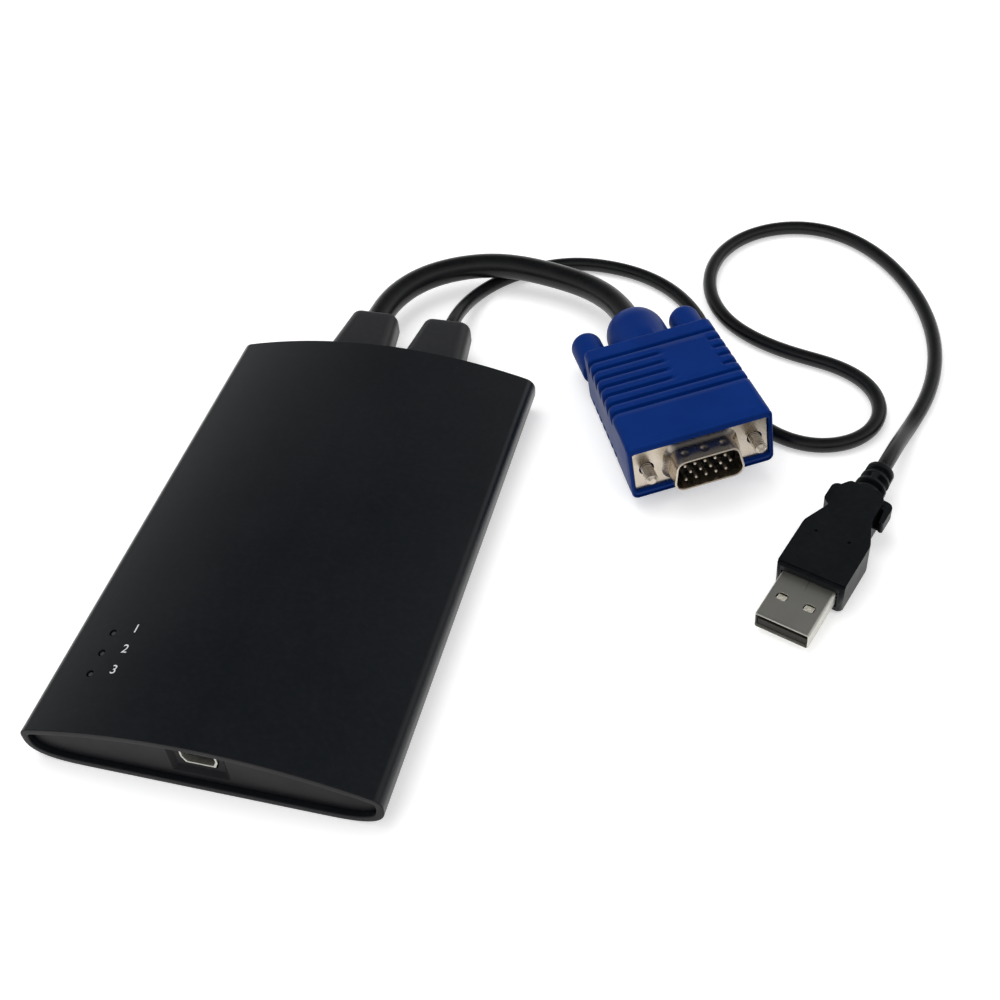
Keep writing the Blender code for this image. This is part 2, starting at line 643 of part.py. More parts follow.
def build_front_plate():
    back = FRONT_FACE + PLATE_THICKNESS
    plate = plate_blank("front_end_plate", FRONT_FACE, back, back - PLATE_THICKNESS / 3, back + SKIRT_DEPTH,
                        (True, False))
    half_width, half_height = POCKET_WIDTH / 2, (POCKET_RISE + POCKET_DROP) / 2
    centre = (0.0, PORT_Z + (POCKET_RISE - POCKET_DROP) / 2)
    rings = []
    for side in (-1, 1):
        y, shrink = FRONT_FACE + side * POCKET_DEPTH, side * POCKET_CHAMFER
        loop = rounded_rectangle(half_width - shrink, half_height - shrink, POCKET_CORNER, 2, centre)
        rings.append([(x, y, z) for x, z in loop])
    combine(plate, add_loft("port_pocket", rings, None), "DIFFERENCE")
    window = add_extrusion("port_window", [port_outline(GAP)], FRONT_FACE - GAP, back + SKIRT_DEPTH + GAP,
                           None)
    combine(plate, window, "DIFFERENCE")
    return apply_modifiers(plate)


def build_rear_plate():
    plate = plate_blank("rear_end_plate", PLATE_BACK, REAR_FACE, PLATE_BACK - SKIRT_DEPTH,
                        PLATE_BACK + PLATE_THICKNESS / 3, (False,))
    for name, x in (("video", VIDEO_BOOT_X), ("bus", BUS_BOOT_X)):
        loop = boot_section(BOOT_WIDTH, BOOT_HEIGHT, GAP - BOOT_NECK_INSET, x)
        opening = add_extrusion(name + "_boot_opening", [loop], PLATE_BACK - GAP, REAR_FACE + GAP, None)
        combine(plate, opening, "DIFFERENCE")
    for side, sign in (("left", -1), ("right", 1)):
        screw_x = sign * SCREW_X
        hole = add_cylinder(f"plate_{side}_screw_hole", END_SCREW_RADIUS + GAP,
                            (screw_x, PLATE_BACK - GAP, SCREW_Z), (screw_x, REAR_FACE + GAP, SCREW_Z),
                            None, steps=12)
        combine(plate, hole, "DIFFERENCE")
    return apply_modifiers(plate)


def build_end_screws():
    head = REAR_FACE + GAP
    tip = head - END_SCREW_LENGTH
    top = head + END_SCREW_HEAD_HEIGHT
    for side, sign in (("left", -1), ("right", 1)):
        profile = [(0.0, tip), (END_SCREW_RADIUS, tip + END_SCREW_RADIUS), (END_SCREW_RADIUS, head),
                   (END_SCREW_HEAD_RADIUS, head), (END_SCREW_HEAD_RADIUS, (head + top) / 2),
                   (END_SCREW_CROWN_RADIUS, top), (0.0, top)]
        screw = add_turned(f"{side}_end_screw", profile, STEEL)
        screw.location = (sign * SCREW_X, 0.0, SCREW_Z)


def build_board():
    length = BOARD_REAR - BOARD_FRONT
    board = add_box("main_board", (2 * BOARD_HALF, length, BOARD_THICKNESS),
                    (0.0, (BOARD_REAR + BOARD_FRONT) / 2, BOARD_MIDDLE), BOARD_GREEN)
    return board


def build_mini_port():
    mouth = FRONT_FACE + PORT_SETBACK
    rear = mouth + PORT_DEPTH
    add_extrusion("mini_port_shell", [port_outline(), port_outline(-PORT_WALL)], mouth, rear, TINPLATE)
    base_front = rear - PORT_BASE_DEPTH
    base = add_extrusion("mini_port_insert", [port_outline(-PORT_WALL - GAP)], base_front, rear, CHIP_BLACK)
    tongue = add_box("mini_port_tongue", (PORT_TONGUE_WIDTH, base_front - mouth, PORT_TONGUE_HEIGHT),
                     (0.0, (base_front + mouth) / 2 + PORT_SETBACK, PORT_Z), None)
    combine(base, tongue, "UNION")
    apply_modifiers(base)


def add_chip(name, size, centre, material=CHIP_BLACK, draft=PACKAGE_DRAFT):
    """Moulded package whose sides draft in above and below its parting line."""
    x, y = centre
    bottom = BOARD_TOP + GAP
    rings = []
    for z, shrink in ((bottom, draft), (bottom + size[2] / 2, 0.0), (bottom + size[2], draft)):
        loop = rounded_rectangle(size[0] / 2 - shrink, size[1] / 2 - shrink, 2 * draft, 1, (x, y))
        rings.append([(px, py, z) for px, py in loop])
    return add_loft(name, rings, material)


def board_point(place):
    return (place[0] * BOARD_HALF, (BOARD_REAR + BOARD_FRONT + place[1] * (BOARD_REAR - BOARD_FRONT)) / 2)


def build_board_parts():
    add_chip("controller_chip", CONTROLLER_CHIP, board_point(CONTROLLER_PLACE))
    add_chip("video_converter_chip", CONVERTER_CHIP, board_point(CONVERTER_PLACE))
    add_chip("memory_chip", MEMORY_CHIP, board_point(MEMORY_PLACE))
    add_chip("bus_controller_chip", BUS_CHIP, board_point(BUS_CHIP_PLACE))
    add_chip("clock_crystal", CRYSTAL, board_point(CRYSTAL_PLACE), TINPLATE)
    add_chip("voltage_regulator", REGULATOR, board_point(REGULATOR_PLACE))
    foot_x = LIGHT_X - GUIDE_FOOT * math.sin(LIGHT_TILT)
    for k in range(LIGHT_COUNT):
        add_chip(f"status_led_{k + 1}", LED_SIZE, (foot_x, LIGHT_FIRST_Y - k * LIGHT_PITCH), HEADER_WHITE,
                 PACKAGE_DRAFT / 2)


def build_light_guide():
    """One clear moulding: a bar under the top wall with a rod through it at each light."""
    top = -CASE_WALL - GAP
    half_span = LIGHT_PITCH * (LIGHT_COUNT - 1) / 2
    size = (LIGHT_GUIDE_WIDTH, 2 * half_span + LIGHT_GUIDE_WIDTH, LIGHT_GUIDE_THICKNESS)
    guide = add_box("light_guide", size, (0.0, -half_span, top - LIGHT_GUIDE_THICKNESS / 2), CLEAR_GUIDE,
                    LIGHT_AXES)
    for k in range(LIGHT_COUNT):
        y = -k * LIGHT_PITCH
        rod = add_cylinder(f"light_rod_{k + 1}", LIGHT_HOLE_RADIUS - GAP, (0.0, y, -GUIDE_FOOT),
                           (0.0, y, -LIGHT_GUIDE_SINK), None, parent=LIGHT_AXES, steps=10)
        combine(guide, rod, "UNION")
    return apply_modifiers(guide)


def boot_section(width, height, grow, x):
    return rounded_rectangle(width / 2 + grow, height / 2 + grow, BOOT_ROUND + min(grow, 0.0), CORNER_STEPS,
                             (x, BOOT_HEIGHT_Z))


def build_boot(name, x):
    """Tapered boot, with a neck through the rear plate and a lip behind it."""
    lip_rear = PLATE_BACK - GAP
    seat = REAR_FACE + GAP
    end = CASE_REAR + BOOT_LENGTH
    neck = -BOOT_NECK_INSET
    sections = [(lip_rear - BOOT_FLANGE, BOOT_WIDTH, BOOT_HEIGHT, neck + BOOT_LIP),
                (lip_rear, BOOT_WIDTH, BOOT_HEIGHT, neck + BOOT_LIP),
                (lip_rear, BOOT_WIDTH, BOOT_HEIGHT, neck), (seat, BOOT_WIDTH, BOOT_HEIGHT, neck),
                (seat, BOOT_WIDTH, BOOT_HEIGHT, 0.0), (CASE_REAR, BOOT_WIDTH, BOOT_HEIGHT, 0.0)]
    sections += [(y, BOOT_END_WIDTH, BOOT_END_HEIGHT, -shrink) for y, shrink in edge_arc(end, BOOT_END_ROUND)]
    rings = []
    for y, width, height, grow in sections:
        rings.append([(px, y, pz) for px, pz in boot_section(width, height, grow, x)])
    return add_loft(name, rings, BLACK_VINYL)


def build_inner_leads():
    """Headers on the board and the short harnesses from them to the boots."""
    header_y = BOARD_REAR - HEADER_SETBACK
    header_z = BOARD_TOP + GAP + HEADER_HEIGHT / 2
    header_rear = header_y + HEADER_DEPTH / 2 + GAP
    boot_inside = PLATE_BACK - GAP - BOOT_FLANGE - GAP
    middle = Vector((0.0, (boot_inside + header_rear) / 2, (BOOT_HEIGHT_Z + header_z) / 2))
    for name, x, width, thickness in zip(("video", "bus"), (VIDEO_BOOT_X, BUS_BOOT_X), HEADER_WIDTHS,
                                         HARNESS_THICKNESSES):
        add_chip(f"{name}_lead_header", (width, HEADER_DEPTH, HEADER_HEIGHT), (x, header_y), HEADER_WHITE)
        boot_end, header_end = Vector((x, boot_inside, BOOT_HEIGHT_Z)), Vector((x, header_rear, header_z))
        straight = Vector((0.0, boot_inside - header_rear, 0.0))
        line = smooth_curve([boot_end + straight, boot_end, middle + Vector((x, 0.0, 0.0)), header_end,
                             header_end - straight], 4)
        add_spline(f"{name}_lead_harness", line, thickness, BLACK_VINYL)


def rounded_polygon(corners, steps=4):
    """Outline through corners given as (x, z, radius), each rounded by an arc."""
    result = []
    count = len(corners)
    for k in range(count):
        before, here, after = (Vector(corners[j][:2]) for j in (k - 1, k, (k + 1) % count))
        radius = corners[k][2]
        to_before, to_after = (before - here).normalized(), (after - here).normalized()
        half_angle = to_before.angle(to_after) / 2
        reach = radius / math.tan(half_angle)
        start, end = here + to_before * reach, here + to_after * reach
        centre = here + (to_before + to_after).normalized() * (radius / math.sin(half_angle))
        sweep = (start - centre).angle_signed(end - centre)
        for j in range(steps + 1):
            offset = Matrix.Rotation(-sweep * j / steps, 2) @ (start - centre)
            result.append(tuple(centre + offset))
    return result


def shell_outline(shrink=0.0):
    """D shape of the video plug's shell, wide side down."""
    lean = math.tan(math.radians(SHELL_LEAN)) * SHELL_HEIGHT
    half, top = SHELL_WIDE / 2, SHELL_HEIGHT / 2
    radius = SHELL_ROUND
    corners = [(half, -top, radius), (half - lean, top, radius),
               (lean - half, top, radius), (-half, -top, radius)]
    loop = rounded_polygon(corners)
    return inset(loop, shrink) if shrink else loop


def hood_half_width(y):
    along = (y - HOOD_FRONT) / (HOOD_REAR - HOOD_FRONT)
    return (HOOD_WIDTH + (HOOD_REAR_WIDTH - HOOD_WIDTH) * along) / 2


def groove_loops(y, full_width):
    """Cuts round the upper and lower edges of the hood at one groove, as flat outlines."""
    half, top = hood_half_width(y), HOOD_HEIGHT / 2
    side_reach = top - GROOVE_SIDE_DROP
    beyond = 2 * GROOVE_DEPTH
    section = rounded_rectangle(half - GROOVE_DEPTH, top - GROOVE_DEPTH, HOOD_ROUND)
    bed = [point for point in section if point[1] > side_reach]
    bed = [(half - GROOVE_DEPTH, side_reach)] + bed + [(GROOVE_DEPTH - half, side_reach)]
    frame = [(-half - beyond, side_reach), (-half - beyond, top + beyond), (half + beyond, top + beyond),
             (half + beyond, side_reach)]
    if full_width:
        upper = [bed + frame]
    else:
        right = [point for point in bed if point[0] > PATCH_RIGHT_X]
        right += [(PATCH_RIGHT_X, top - GROOVE_DEPTH), (PATCH_RIGHT_X, top + beyond)] + frame[2:]
        left = [(PATCH_LEFT_X, top - GROOVE_DEPTH)] + [point for point in bed if point[0] < 0]
        left += frame[:2] + [(PATCH_LEFT_X, top + beyond)]
        upper = [right, left]
    lower = [[(x, -z) for x, z in reversed(loop)] for loop in upper]
    return upper + lower


def join_meshes(name, pieces, parent):
    """Gathers several cutters into one, as separate closed bodies."""
    shape = bmesh.new()
    for piece in pieces:
        shape.from_mesh(piece.data)
    mesh = bpy.data.meshes.new(name)
    shape.to_mesh(mesh)
    shape.free()
    for piece in pieces:
        bpy.data.objects.remove(piece)
    return add_object(name, mesh, None, parent)


def build_hood():
    """Moulded hood with a domed boss at its rear, grooves, and hollows for what it holds."""
    top = HOOD_HEIGHT / 2
    rings = []
    for y, shrink in edge_arc(HOOD_FRONT, -HOOD_FRONT_EDGE)[::-1] + edge_arc(HOOD_REAR, HOOD_REAR_EDGE):
        loop = rounded_rectangle(hood_half_width(y) - shrink, top - shrink, HOOD_ROUND)
        rings.append([(x, y, z) for x, z in loop])
    hood = add_loft("video_plug_hood", rings, BLUE_VINYL, VIDEO_AXES)

    boss_rings = []
    for along, scale in HOOD_BOSS_SHAPE:
        y = HOOD_REAR + along * (HOOD_BOSS_REAR - HOOD_REAR)
        oval = circle(scale, (0.0, 0.0), HOOD_BOSS_SIDES)
        boss_rings.append([(x * HOOD_BOSS_RADIUS, y, z * HOOD_BOSS_HEIGHT / 2) for x, z in oval])
    combine(hood, add_loft("hood_boss", boss_rings, None, VIDEO_AXES), "UNION")

    cuts = []
    for k in range(GROOVE_COUNT):
        y = GROOVE_FIRST_Y + k * GROOVE_PITCH
        cuts.append(add_extrusion(f"groove_{k}", groove_loops(y, k in FULL_GROOVES), y - GROOVE_WIDTH / 2,
                                  y + GROOVE_WIDTH / 2, None))
    combine(hood, join_meshes("hood_grooves", cuts, VIDEO_AXES), "DIFFERENCE")

    slot_size = [size + 2 * GAP for size in (FLANGE_WIDTH, FLANGE_THICKNESS, FLANGE_HEIGHT)]
    slot = add_box("flange_slot", slot_size, (0.0, FLANGE_THICKNESS / 2, 0.0), None, VIDEO_AXES)
    combine(hood, slot, "DIFFERENCE")
    window = rounded_rectangle(FLANGE_WIDTH / 2 + GAP, FLANGE_WINDOW_HEIGHT / 2, FLANGE_WINDOW_ROUND, 3)
    opening = add_extrusion("flange_window", [window], HOOD_FRONT - GAP, FLANGE_THICKNESS / 2, None,
                            VIDEO_AXES)
    combine(hood, opening, "DIFFERENCE")
    cavity = add_box("contact_cavity", (SHELL_WIDE + 4 * GAP, PIN_TAIL + 2 * GAP, SHELL_HEIGHT + 4 * GAP),
                     (0.0, PIN_TAIL / 2, 0.0), None, VIDEO_AXES)
    combine(hood, cavity, "DIFFERENCE")
    for side, sign in (("left", -1), ("right", 1)):
        x = sign * SCREW_SPACING / 2
        bore = add_cylinder(f"{side}_thumbscrew_bore", THUMBSCREW_RADIUS + GAP, (x, 0.0, 0.0),
                            (x, HOOD_REAR + GAP, 0.0), None, VIDEO_AXES)
        combine(hood, bore, "DIFFERENCE")
    return apply_modifiers(hood)


def build_video_shell():
    """Drawn shell and its flange, one piece of sheet."""
    plate = rounded_rectangle(FLANGE_WIDTH / 2, FLANGE_HEIGHT / 2, FLANGE_ROUND, 3)
    holes = [circle(FLANGE_HOLE_RADIUS, (sign * SCREW_SPACING / 2, 0.0)) for sign in (-1, 1)]
    shell = add_extrusion("video_plug_shell", [plate] + holes, 0.0, FLANGE_THICKNESS, NICKEL, VIDEO_AXES)
    body = [[(x, y, z) for x, z in inset(shell_outline(), -grow)] for y, grow in SHELL_FOOT]
    body.append([(x, -SHELL_DEPTH, z) for x, z in shell_outline()])
    combine(shell, add_loft("shell_body", body, None, VIDEO_AXES), "UNION")
    hollow = add_extrusion("shell_hollow", [shell_outline(SHELL_WALL)], -SHELL_DEPTH - GAP,
                           FLANGE_THICKNESS + GAP, None, VIDEO_AXES)
    combine(shell, hollow, "DIFFERENCE")
    ball = (SHELL_DIMPLE_RADIUS ** 2 + SHELL_DIMPLE_DEPTH ** 2) / (2 * SHELL_DIMPLE_DEPTH)
    ball_height = SHELL_HEIGHT / 2 + ball - SHELL_DIMPLE_DEPTH
    dimples = []
    for sign in (-1, 1):
        for k in (-1, 0, 1):
            def build(shape, x=k * SHELL_DIMPLE_PITCH, z=sign * ball_height):
                bmesh.ops.create_uvsphere(shape, u_segments=20, v_segments=16, radius=ball)
                bmesh.ops.translate(shape, vec=(x, SHELL_DIMPLE_Y, z), verts=shape.verts)
            dimples.append(add_object("dimple", mesh_from(build, "dimple"), None))
    combine(shell, join_meshes("shell_dimples", dimples, VIDEO_AXES), "DIFFERENCE")
    return apply_modifiers(shell)


def pin_places():
    """Three rows of pins; the middle row is offset by half a pitch."""
    places = []
    for row in (1, 0, -1):
        shift = PIN_PITCH / 4 * (1 if row == 0 else -1)
        for column in range(PIN_COLUMNS):
            x = (column - (PIN_COLUMNS - 1) / 2) * PIN_PITCH + shift
            places.append((x, row * PIN_ROW_PITCH))
    return places


def build_insulator():
    front, rear = -INSULATOR_FRONT, INSULATOR_REAR
    block = add_extrusion("video_plug_insulator", [shell_outline(SHELL_WALL + GAP)], front, rear, CHIP_BLACK,
                          VIDEO_AXES)
    holes = [add_cylinder("pin_hole", PIN_RADIUS + GAP, (x, front - GAP, z), (x, rear + GAP, z), None,
                          steps=PIN_SIDES) for x, z in pin_places()]
    combine(block, join_meshes("pin_holes", holes, VIDEO_AXES), "DIFFERENCE")
    return apply_modifiers(block)


def build_pins():
    rear = PIN_TAIL - GAP
    profile = [(0.0, -PIN_TIP), (PIN_TIP_RADIUS, -PIN_TIP), (PIN_RADIUS, PIN_NOSE - PIN_TIP),
               (PIN_RADIUS, rear), (0.0, rear)]
    for number, (x, z) in enumerate(pin_places(), 1):
        pin = add_turned(f"video_pin_{number:02d}", profile, GOLD, VIDEO_AXES, steps=PIN_SIDES)
        pin.location = (x, 0.0, z)


def build_thumbscrews():
    """Captive thumbscrews, each turning about its own axis in the hood."""
    knob_front = HOOD_REAR + GAP
    knob_rear = knob_front + KNOB_LENGTH
    dome_front = knob_rear - KNOB_DOME
    profile = [(0.0, -THUMBSCREW_TIP), (THUMBSCREW_POINT, -THUMBSCREW_TIP),
               (THUMBSCREW_RADIUS, THUMBSCREW_POINT - THUMBSCREW_TIP), (THUMBSCREW_RADIUS, knob_front),
               (KNOB_RADIUS - KNOB_EDGE, knob_front), (KNOB_RADIUS, knob_front + KNOB_EDGE)]
    for k in range(KNOB_DOME_STEPS):
        turn = math.radians(90 * k / KNOB_DOME_STEPS)
        profile.append((KNOB_RADIUS * math.cos(turn), dome_front + KNOB_DOME * math.sin(turn)))
    profile.append((0.0, knob_rear))
    for side, sign in (("left", -1), ("right", 1)):
        screw = add_turned(f"{side}_thumbscrew", profile, BLUE_VINYL, VIDEO_AXES, steps=20)
        screw.location = (sign * SCREW_SPACING / 2, 0.0, 0.0)


def build_bus_shell():
    outer = rounded_rectangle(BUS_SHELL_WIDTH / 2, BUS_SHELL_HEIGHT / 2, BUS_SHELL_ROUND, 3)
    inner = inset(outer, BUS_SHELL_WALL)
    shell = add_extrusion("bus_plug_shell", [outer, inner], 0.0, BUS_SHELL_LENGTH + BUS_SHELL_BURIED,
                          TINPLATE, BUS_AXES)
    windows = [add_box("window", (BUS_WINDOW_WIDTH, BUS_WINDOW_LENGTH, 2 * BUS_SHELL_HEIGHT),
                       (sign * BUS_WINDOW_X, BUS_WINDOW_Y, 0.0), None) for sign in (-1, 1)]
    combine(shell, join_meshes("bus_windows", windows, BUS_AXES), "DIFFERENCE")
    return apply_modifiers(shell)


def build_tongue():
    floor = -BUS_SHELL_HEIGHT / 2 + BUS_SHELL_WALL + GAP
    top = floor + TONGUE_HEIGHT
    rear = BUS_SHELL_LENGTH + BUS_SHELL_BURIED - 2 * GAP
    tongue = add_box("bus_plug_tongue", (TONGUE_WIDTH, rear - TONGUE_SETBACK, TONGUE_HEIGHT),
                     (0.0, (rear + TONGUE_SETBACK) / 2, (floor + top) / 2), CHIP_BLACK, BUS_AXES)
    contact_front, contact_rear = TONGUE_SETBACK + CONTACT_SETBACK, rear - CONTACT_TAIL
    length, middle = contact_rear - contact_front, (contact_front + contact_rear) / 2
    beds = []
    for number, x in enumerate(CONTACT_PLACES, 1):
        beds.append(add_box("bed", (CONTACT_WIDTH + 2 * GAP, length + 2 * GAP, 2 * (CONTACT_THICKNESS + GAP)),
                            (x, middle, top), None))
        add_box(f"bus_contact_{number}", (CONTACT_WIDTH, length, CONTACT_THICKNESS),
                (x, middle, top - CONTACT_THICKNESS / 2), GOLD, BUS_AXES)
    combine(tongue, join_meshes("contact_beds", beds, BUS_AXES), "DIFFERENCE")
    return apply_modifiers(tongue)


def add_flat_block(name, plan, bottom, top, material):
    """Outline in X and Y of the bus plug, extruded upwards."""
    block = add_extrusion(name, [plan], bottom, top, material, BUS_AXES)
    block.data.transform(Matrix.Rotation(math.radians(-90), 4, "X"))
    return block


def build_grip():
    """Moulded grip: a straight body, a narrow neck, two wings and a ringed strain relief."""
    half, neck, wing = GRIP_WIDTH / 2, GRIP_NECK_WIDTH / 2, GRIP_WING_WIDTH / 2
    wing_rear = GRIP_REAR - GRIP_TAIL
    wing_front = wing_rear - GRIP_WING_LENGTH
    right = [(half, BUS_SHELL_LENGTH, GRIP_FRONT_ROUND), (half, GRIP_SHOULDER_Y, GRIP_SHOULDER_ROUND),
             (neck, GRIP_NECK_Y, GRIP_NECK_ROUND), (wing, wing_front + GRIP_WING_ROUND, GRIP_WING_ROUND),
             (wing, wing_rear, GRIP_WING_ROUND), (RELIEF_RADIUS, GRIP_REAR, GRIP_FRONT_ROUND)]
    left = [(-x, y, radius) for x, y, radius in reversed(right)]
    grip = add_flat_block("bus_plug_grip", rounded_polygon(right + left), -GRIP_HEIGHT / 2, GRIP_HEIGHT / 2,
                          BLACK_VINYL)
    bevel(grip, GRIP_ROUND, 2, 50)

    slot = rounded_rectangle(HOOK_SLOT_WIDTH / 2, HOOK_SLOT_LENGTH / 2, HOOK_SLOT_ROUND, 3,
                             (HOOK_SLOT_X, (wing_front + wing_rear) / 2))
    combine(grip, add_flat_block("hook_slot", slot, -GRIP_HEIGHT, GRIP_HEIGHT, None), "DIFFERENCE")
    for side in (-1, 1):
        ledge = add_box("grip_ledge", (2 * GRIP_WIDTH, 2 * GRIP_LEDGE_LENGTH, 2 * GRIP_LEDGE_DEPTH),
                        (0.0, BUS_SHELL_LENGTH, side * GRIP_HEIGHT / 2), None, BUS_AXES)
        combine(grip, ledge, "DIFFERENCE")

    pitch = (RELIEF_REAR - GRIP_REAR) / RELIEF_RINGS
    relief_front = GRIP_REAR - RELIEF_LEAD
    profile = [(0.0, relief_front), (RELIEF_RADIUS - RELIEF_GROOVE, relief_front)]
    for k in range(RELIEF_RINGS):
        ring = RELIEF_RADIUS + (RELIEF_END_RADIUS - RELIEF_RADIUS) * k / (RELIEF_RINGS - 1)
        start = GRIP_REAR + k * pitch
        profile += [(ring - depth * RELIEF_GROOVE, start + along * pitch) for along, depth in RELIEF_RING]
    profile.append((0.0, RELIEF_REAR))
    combine(grip, add_turned("strain_relief", profile, None, BUS_AXES), "UNION")

    pocket = add_box("bus_shell_pocket", (BUS_SHELL_WIDTH + 2 * GAP, BUS_SHELL_BURIED + 2 * GAP,
                                          BUS_SHELL_HEIGHT + 2 * GAP),
                     (0.0, BUS_SHELL_LENGTH + BUS_SHELL_BURIED / 2, 0.0), None, BUS_AXES)
    combine(grip, pocket, "DIFFERENCE")
    return apply_modifiers(grip)


LIGHT_TILT = math.asin(LIGHT_X / CROWN_RADIUS)
GUIDE_FOOT = (crown_height(LIGHT_X) - BOARD_TOP - LED_SIZE[2] - 3 * GAP) / math.cos(LIGHT_TILT)
LIGHT_AXES = bpy.data.objects.new("light_axes", None)
PARTS.objects.link(LIGHT_AXES)
LIGHT_AXES.location = (LIGHT_X, LIGHT_FIRST_Y, crown_height(LIGHT_X))
LIGHT_AXES.rotation_euler = Euler((0.0, LIGHT_TILT, 0.0))
VIDEO_AXES = add_frame("video_plug_axes", VIDEO_PLUG_PLACE, VIDEO_PLUG_YAW, VIDEO_PLUG_PITCH,
                       VIDEO_PLUG_ROLL)
BUS_AXES = add_frame("bus_plug_axes", BUS_PLUG_PLACE, BUS_PLUG_YAW, BUS_PLUG_PITCH, 0.0)

build_sleeve()
build_front_plate()
build_rear_plate()
build_end_screws()
build_board()
build_mini_port()
build_board_parts()
build_light_guide()
build_boot("video_boot", VIDEO_BOOT_X)
build_boot("bus_boot", BUS_BOOT_X)
build_inner_leads()
build_hood()
build_video_shell()
build_insulator()
build_pins()
build_thumbscrews()
build_bus_shell()
build_tongue()
build_grip()

add_cord("video_cord", VIDEO_BOOT_X, VIDEO_ROUTE, VIDEO_AXES, HOOD_BOSS_REAR, VIDEO_CORD_DIAMETER,
         BLACK_VINYL)
add_cord("bus_cord", BUS_BOOT_X, BUS_ROUTE, BUS_AXES, RELIEF_REAR, BUS_CORD_DIAMETER, BLACK_VINYL)
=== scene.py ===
# Crash cart adapter: a black console case, a blue video plug and a black bus plug on their cords
import math
import bmesh
import bpy
from mathutils import Matrix, Vector


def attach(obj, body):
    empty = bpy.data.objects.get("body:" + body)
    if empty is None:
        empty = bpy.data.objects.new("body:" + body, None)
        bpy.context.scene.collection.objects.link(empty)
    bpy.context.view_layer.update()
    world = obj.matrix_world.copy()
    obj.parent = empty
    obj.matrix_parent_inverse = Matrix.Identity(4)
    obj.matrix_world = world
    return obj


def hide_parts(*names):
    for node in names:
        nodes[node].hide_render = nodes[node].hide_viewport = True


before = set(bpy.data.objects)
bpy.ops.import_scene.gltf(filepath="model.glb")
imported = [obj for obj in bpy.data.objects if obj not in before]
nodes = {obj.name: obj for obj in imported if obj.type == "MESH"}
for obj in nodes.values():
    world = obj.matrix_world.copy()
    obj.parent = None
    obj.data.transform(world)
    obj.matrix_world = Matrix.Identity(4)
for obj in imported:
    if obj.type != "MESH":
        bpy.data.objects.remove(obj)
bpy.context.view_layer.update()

mm = 0.001
scene = bpy.context.scene
scene.view_settings.view_transform = "Standard"


def linked(name, data):
    # a new object in the scene
    piece = bpy.data.objects.new(name, data)
    scene.collection.objects.link(piece)
    return piece


# building node trees

def feed(tree, node, inputs):
    # each input takes a value, or a link from another node's output
    for key, value in inputs.items():
        if isinstance(value, bpy.types.NodeSocket):
            tree.links.new(value, node.inputs[key])
        else:
            node.inputs[key].default_value = value


def addNode(tree, kind, inputs=None, **settings):
    node = tree.nodes.new(kind)
    for name, value in settings.items():
        setattr(node, name, value)
    feed(tree, node, inputs or {})
    return node


def addMath(tree, operation, first, second, clamp=False):
    node = addNode(tree, "ShaderNodeMath", {0: first, 1: second}, operation=operation, use_clamp=clamp)
    return node.outputs[0]


def addDot(tree, first, second):
    node = addNode(tree, "ShaderNodeVectorMath", {0: first, 1: second}, operation="DOT_PRODUCT")
    return node.outputs["Value"]


def addNoise(tree, scale, detail):
    where = addNode(tree, "ShaderNodeTexCoord").outputs["Object"]
    noise = addNode(tree, "ShaderNodeTexNoise", {"Vector": where, "Scale": scale, "Detail": detail})
    return noise.outputs["Fac"]


def addMix(tree, factor, first, second):
    node = addNode(tree, "ShaderNodeMix", {"Factor": factor}, data_type="RGBA")
    places = [k for k, socket in enumerate(node.inputs) if socket.type == "RGBA"]
    feed(tree, node, dict(zip(places, (first, second))))
    return next(socket for socket in node.outputs if socket.type == "RGBA")


# camera, floor and light

print("camera, floor and light")

shot = {
    "place": (105.6, -175.25, 225.6), "azimuth": 18.84, "elevation": 46.51, "roll": -5.53,
    "lens": 49.07, "sensor": 36.0,
}


def aimCamera():
    azimuth, elevation, roll = (math.radians(shot[key]) for key in ("azimuth", "elevation", "roll"))
    back = Vector((math.sin(azimuth) * math.cos(elevation), -math.cos(azimuth) * math.cos(elevation),
                   math.sin(elevation)))
    level = Vector((math.cos(azimuth), math.sin(azimuth), 0.0))
    upright = back.cross(level)
    right = level * math.cos(roll) + upright * math.sin(roll)
    up = upright * math.cos(roll) - level * math.sin(roll)
    lens = bpy.data.cameras.new("viewCamera")
    lens.lens, lens.sensor_width = shot["lens"], shot["sensor"]
    lens.clip_start, lens.clip_end = 0.01, 20.0
    camera = linked("viewCamera", lens)
    turn = Matrix((right, up, back)).transposed().to_4x4()
    camera.matrix_world = Matrix.Translation(Vector(shot["place"]) * mm) @ turn
    scene.camera = camera


stageLook = {
    "floorWidth": 3.0,
    "floorDrop": 0.1,                # mm under the part
    "floorShade": 0.86,
    "floorLift": (0.42, 0.70),       # under the part, and far from it
    "floorReach": (0.35, 1.10),      # m from the middle, where the lift starts and stops to grow
    "surround": 0.42,                # light from all round, on matt surfaces
    "darkest": (-0.25, 0.30, 0.92),  # where the surround mirrors darkest, high up
    "glossRamp": ((0.02, 0.30), (0.32, 1.0), (0.70, 0.44), (0.87, 0.15), (0.96, 0.02)),  # nearness, level
}


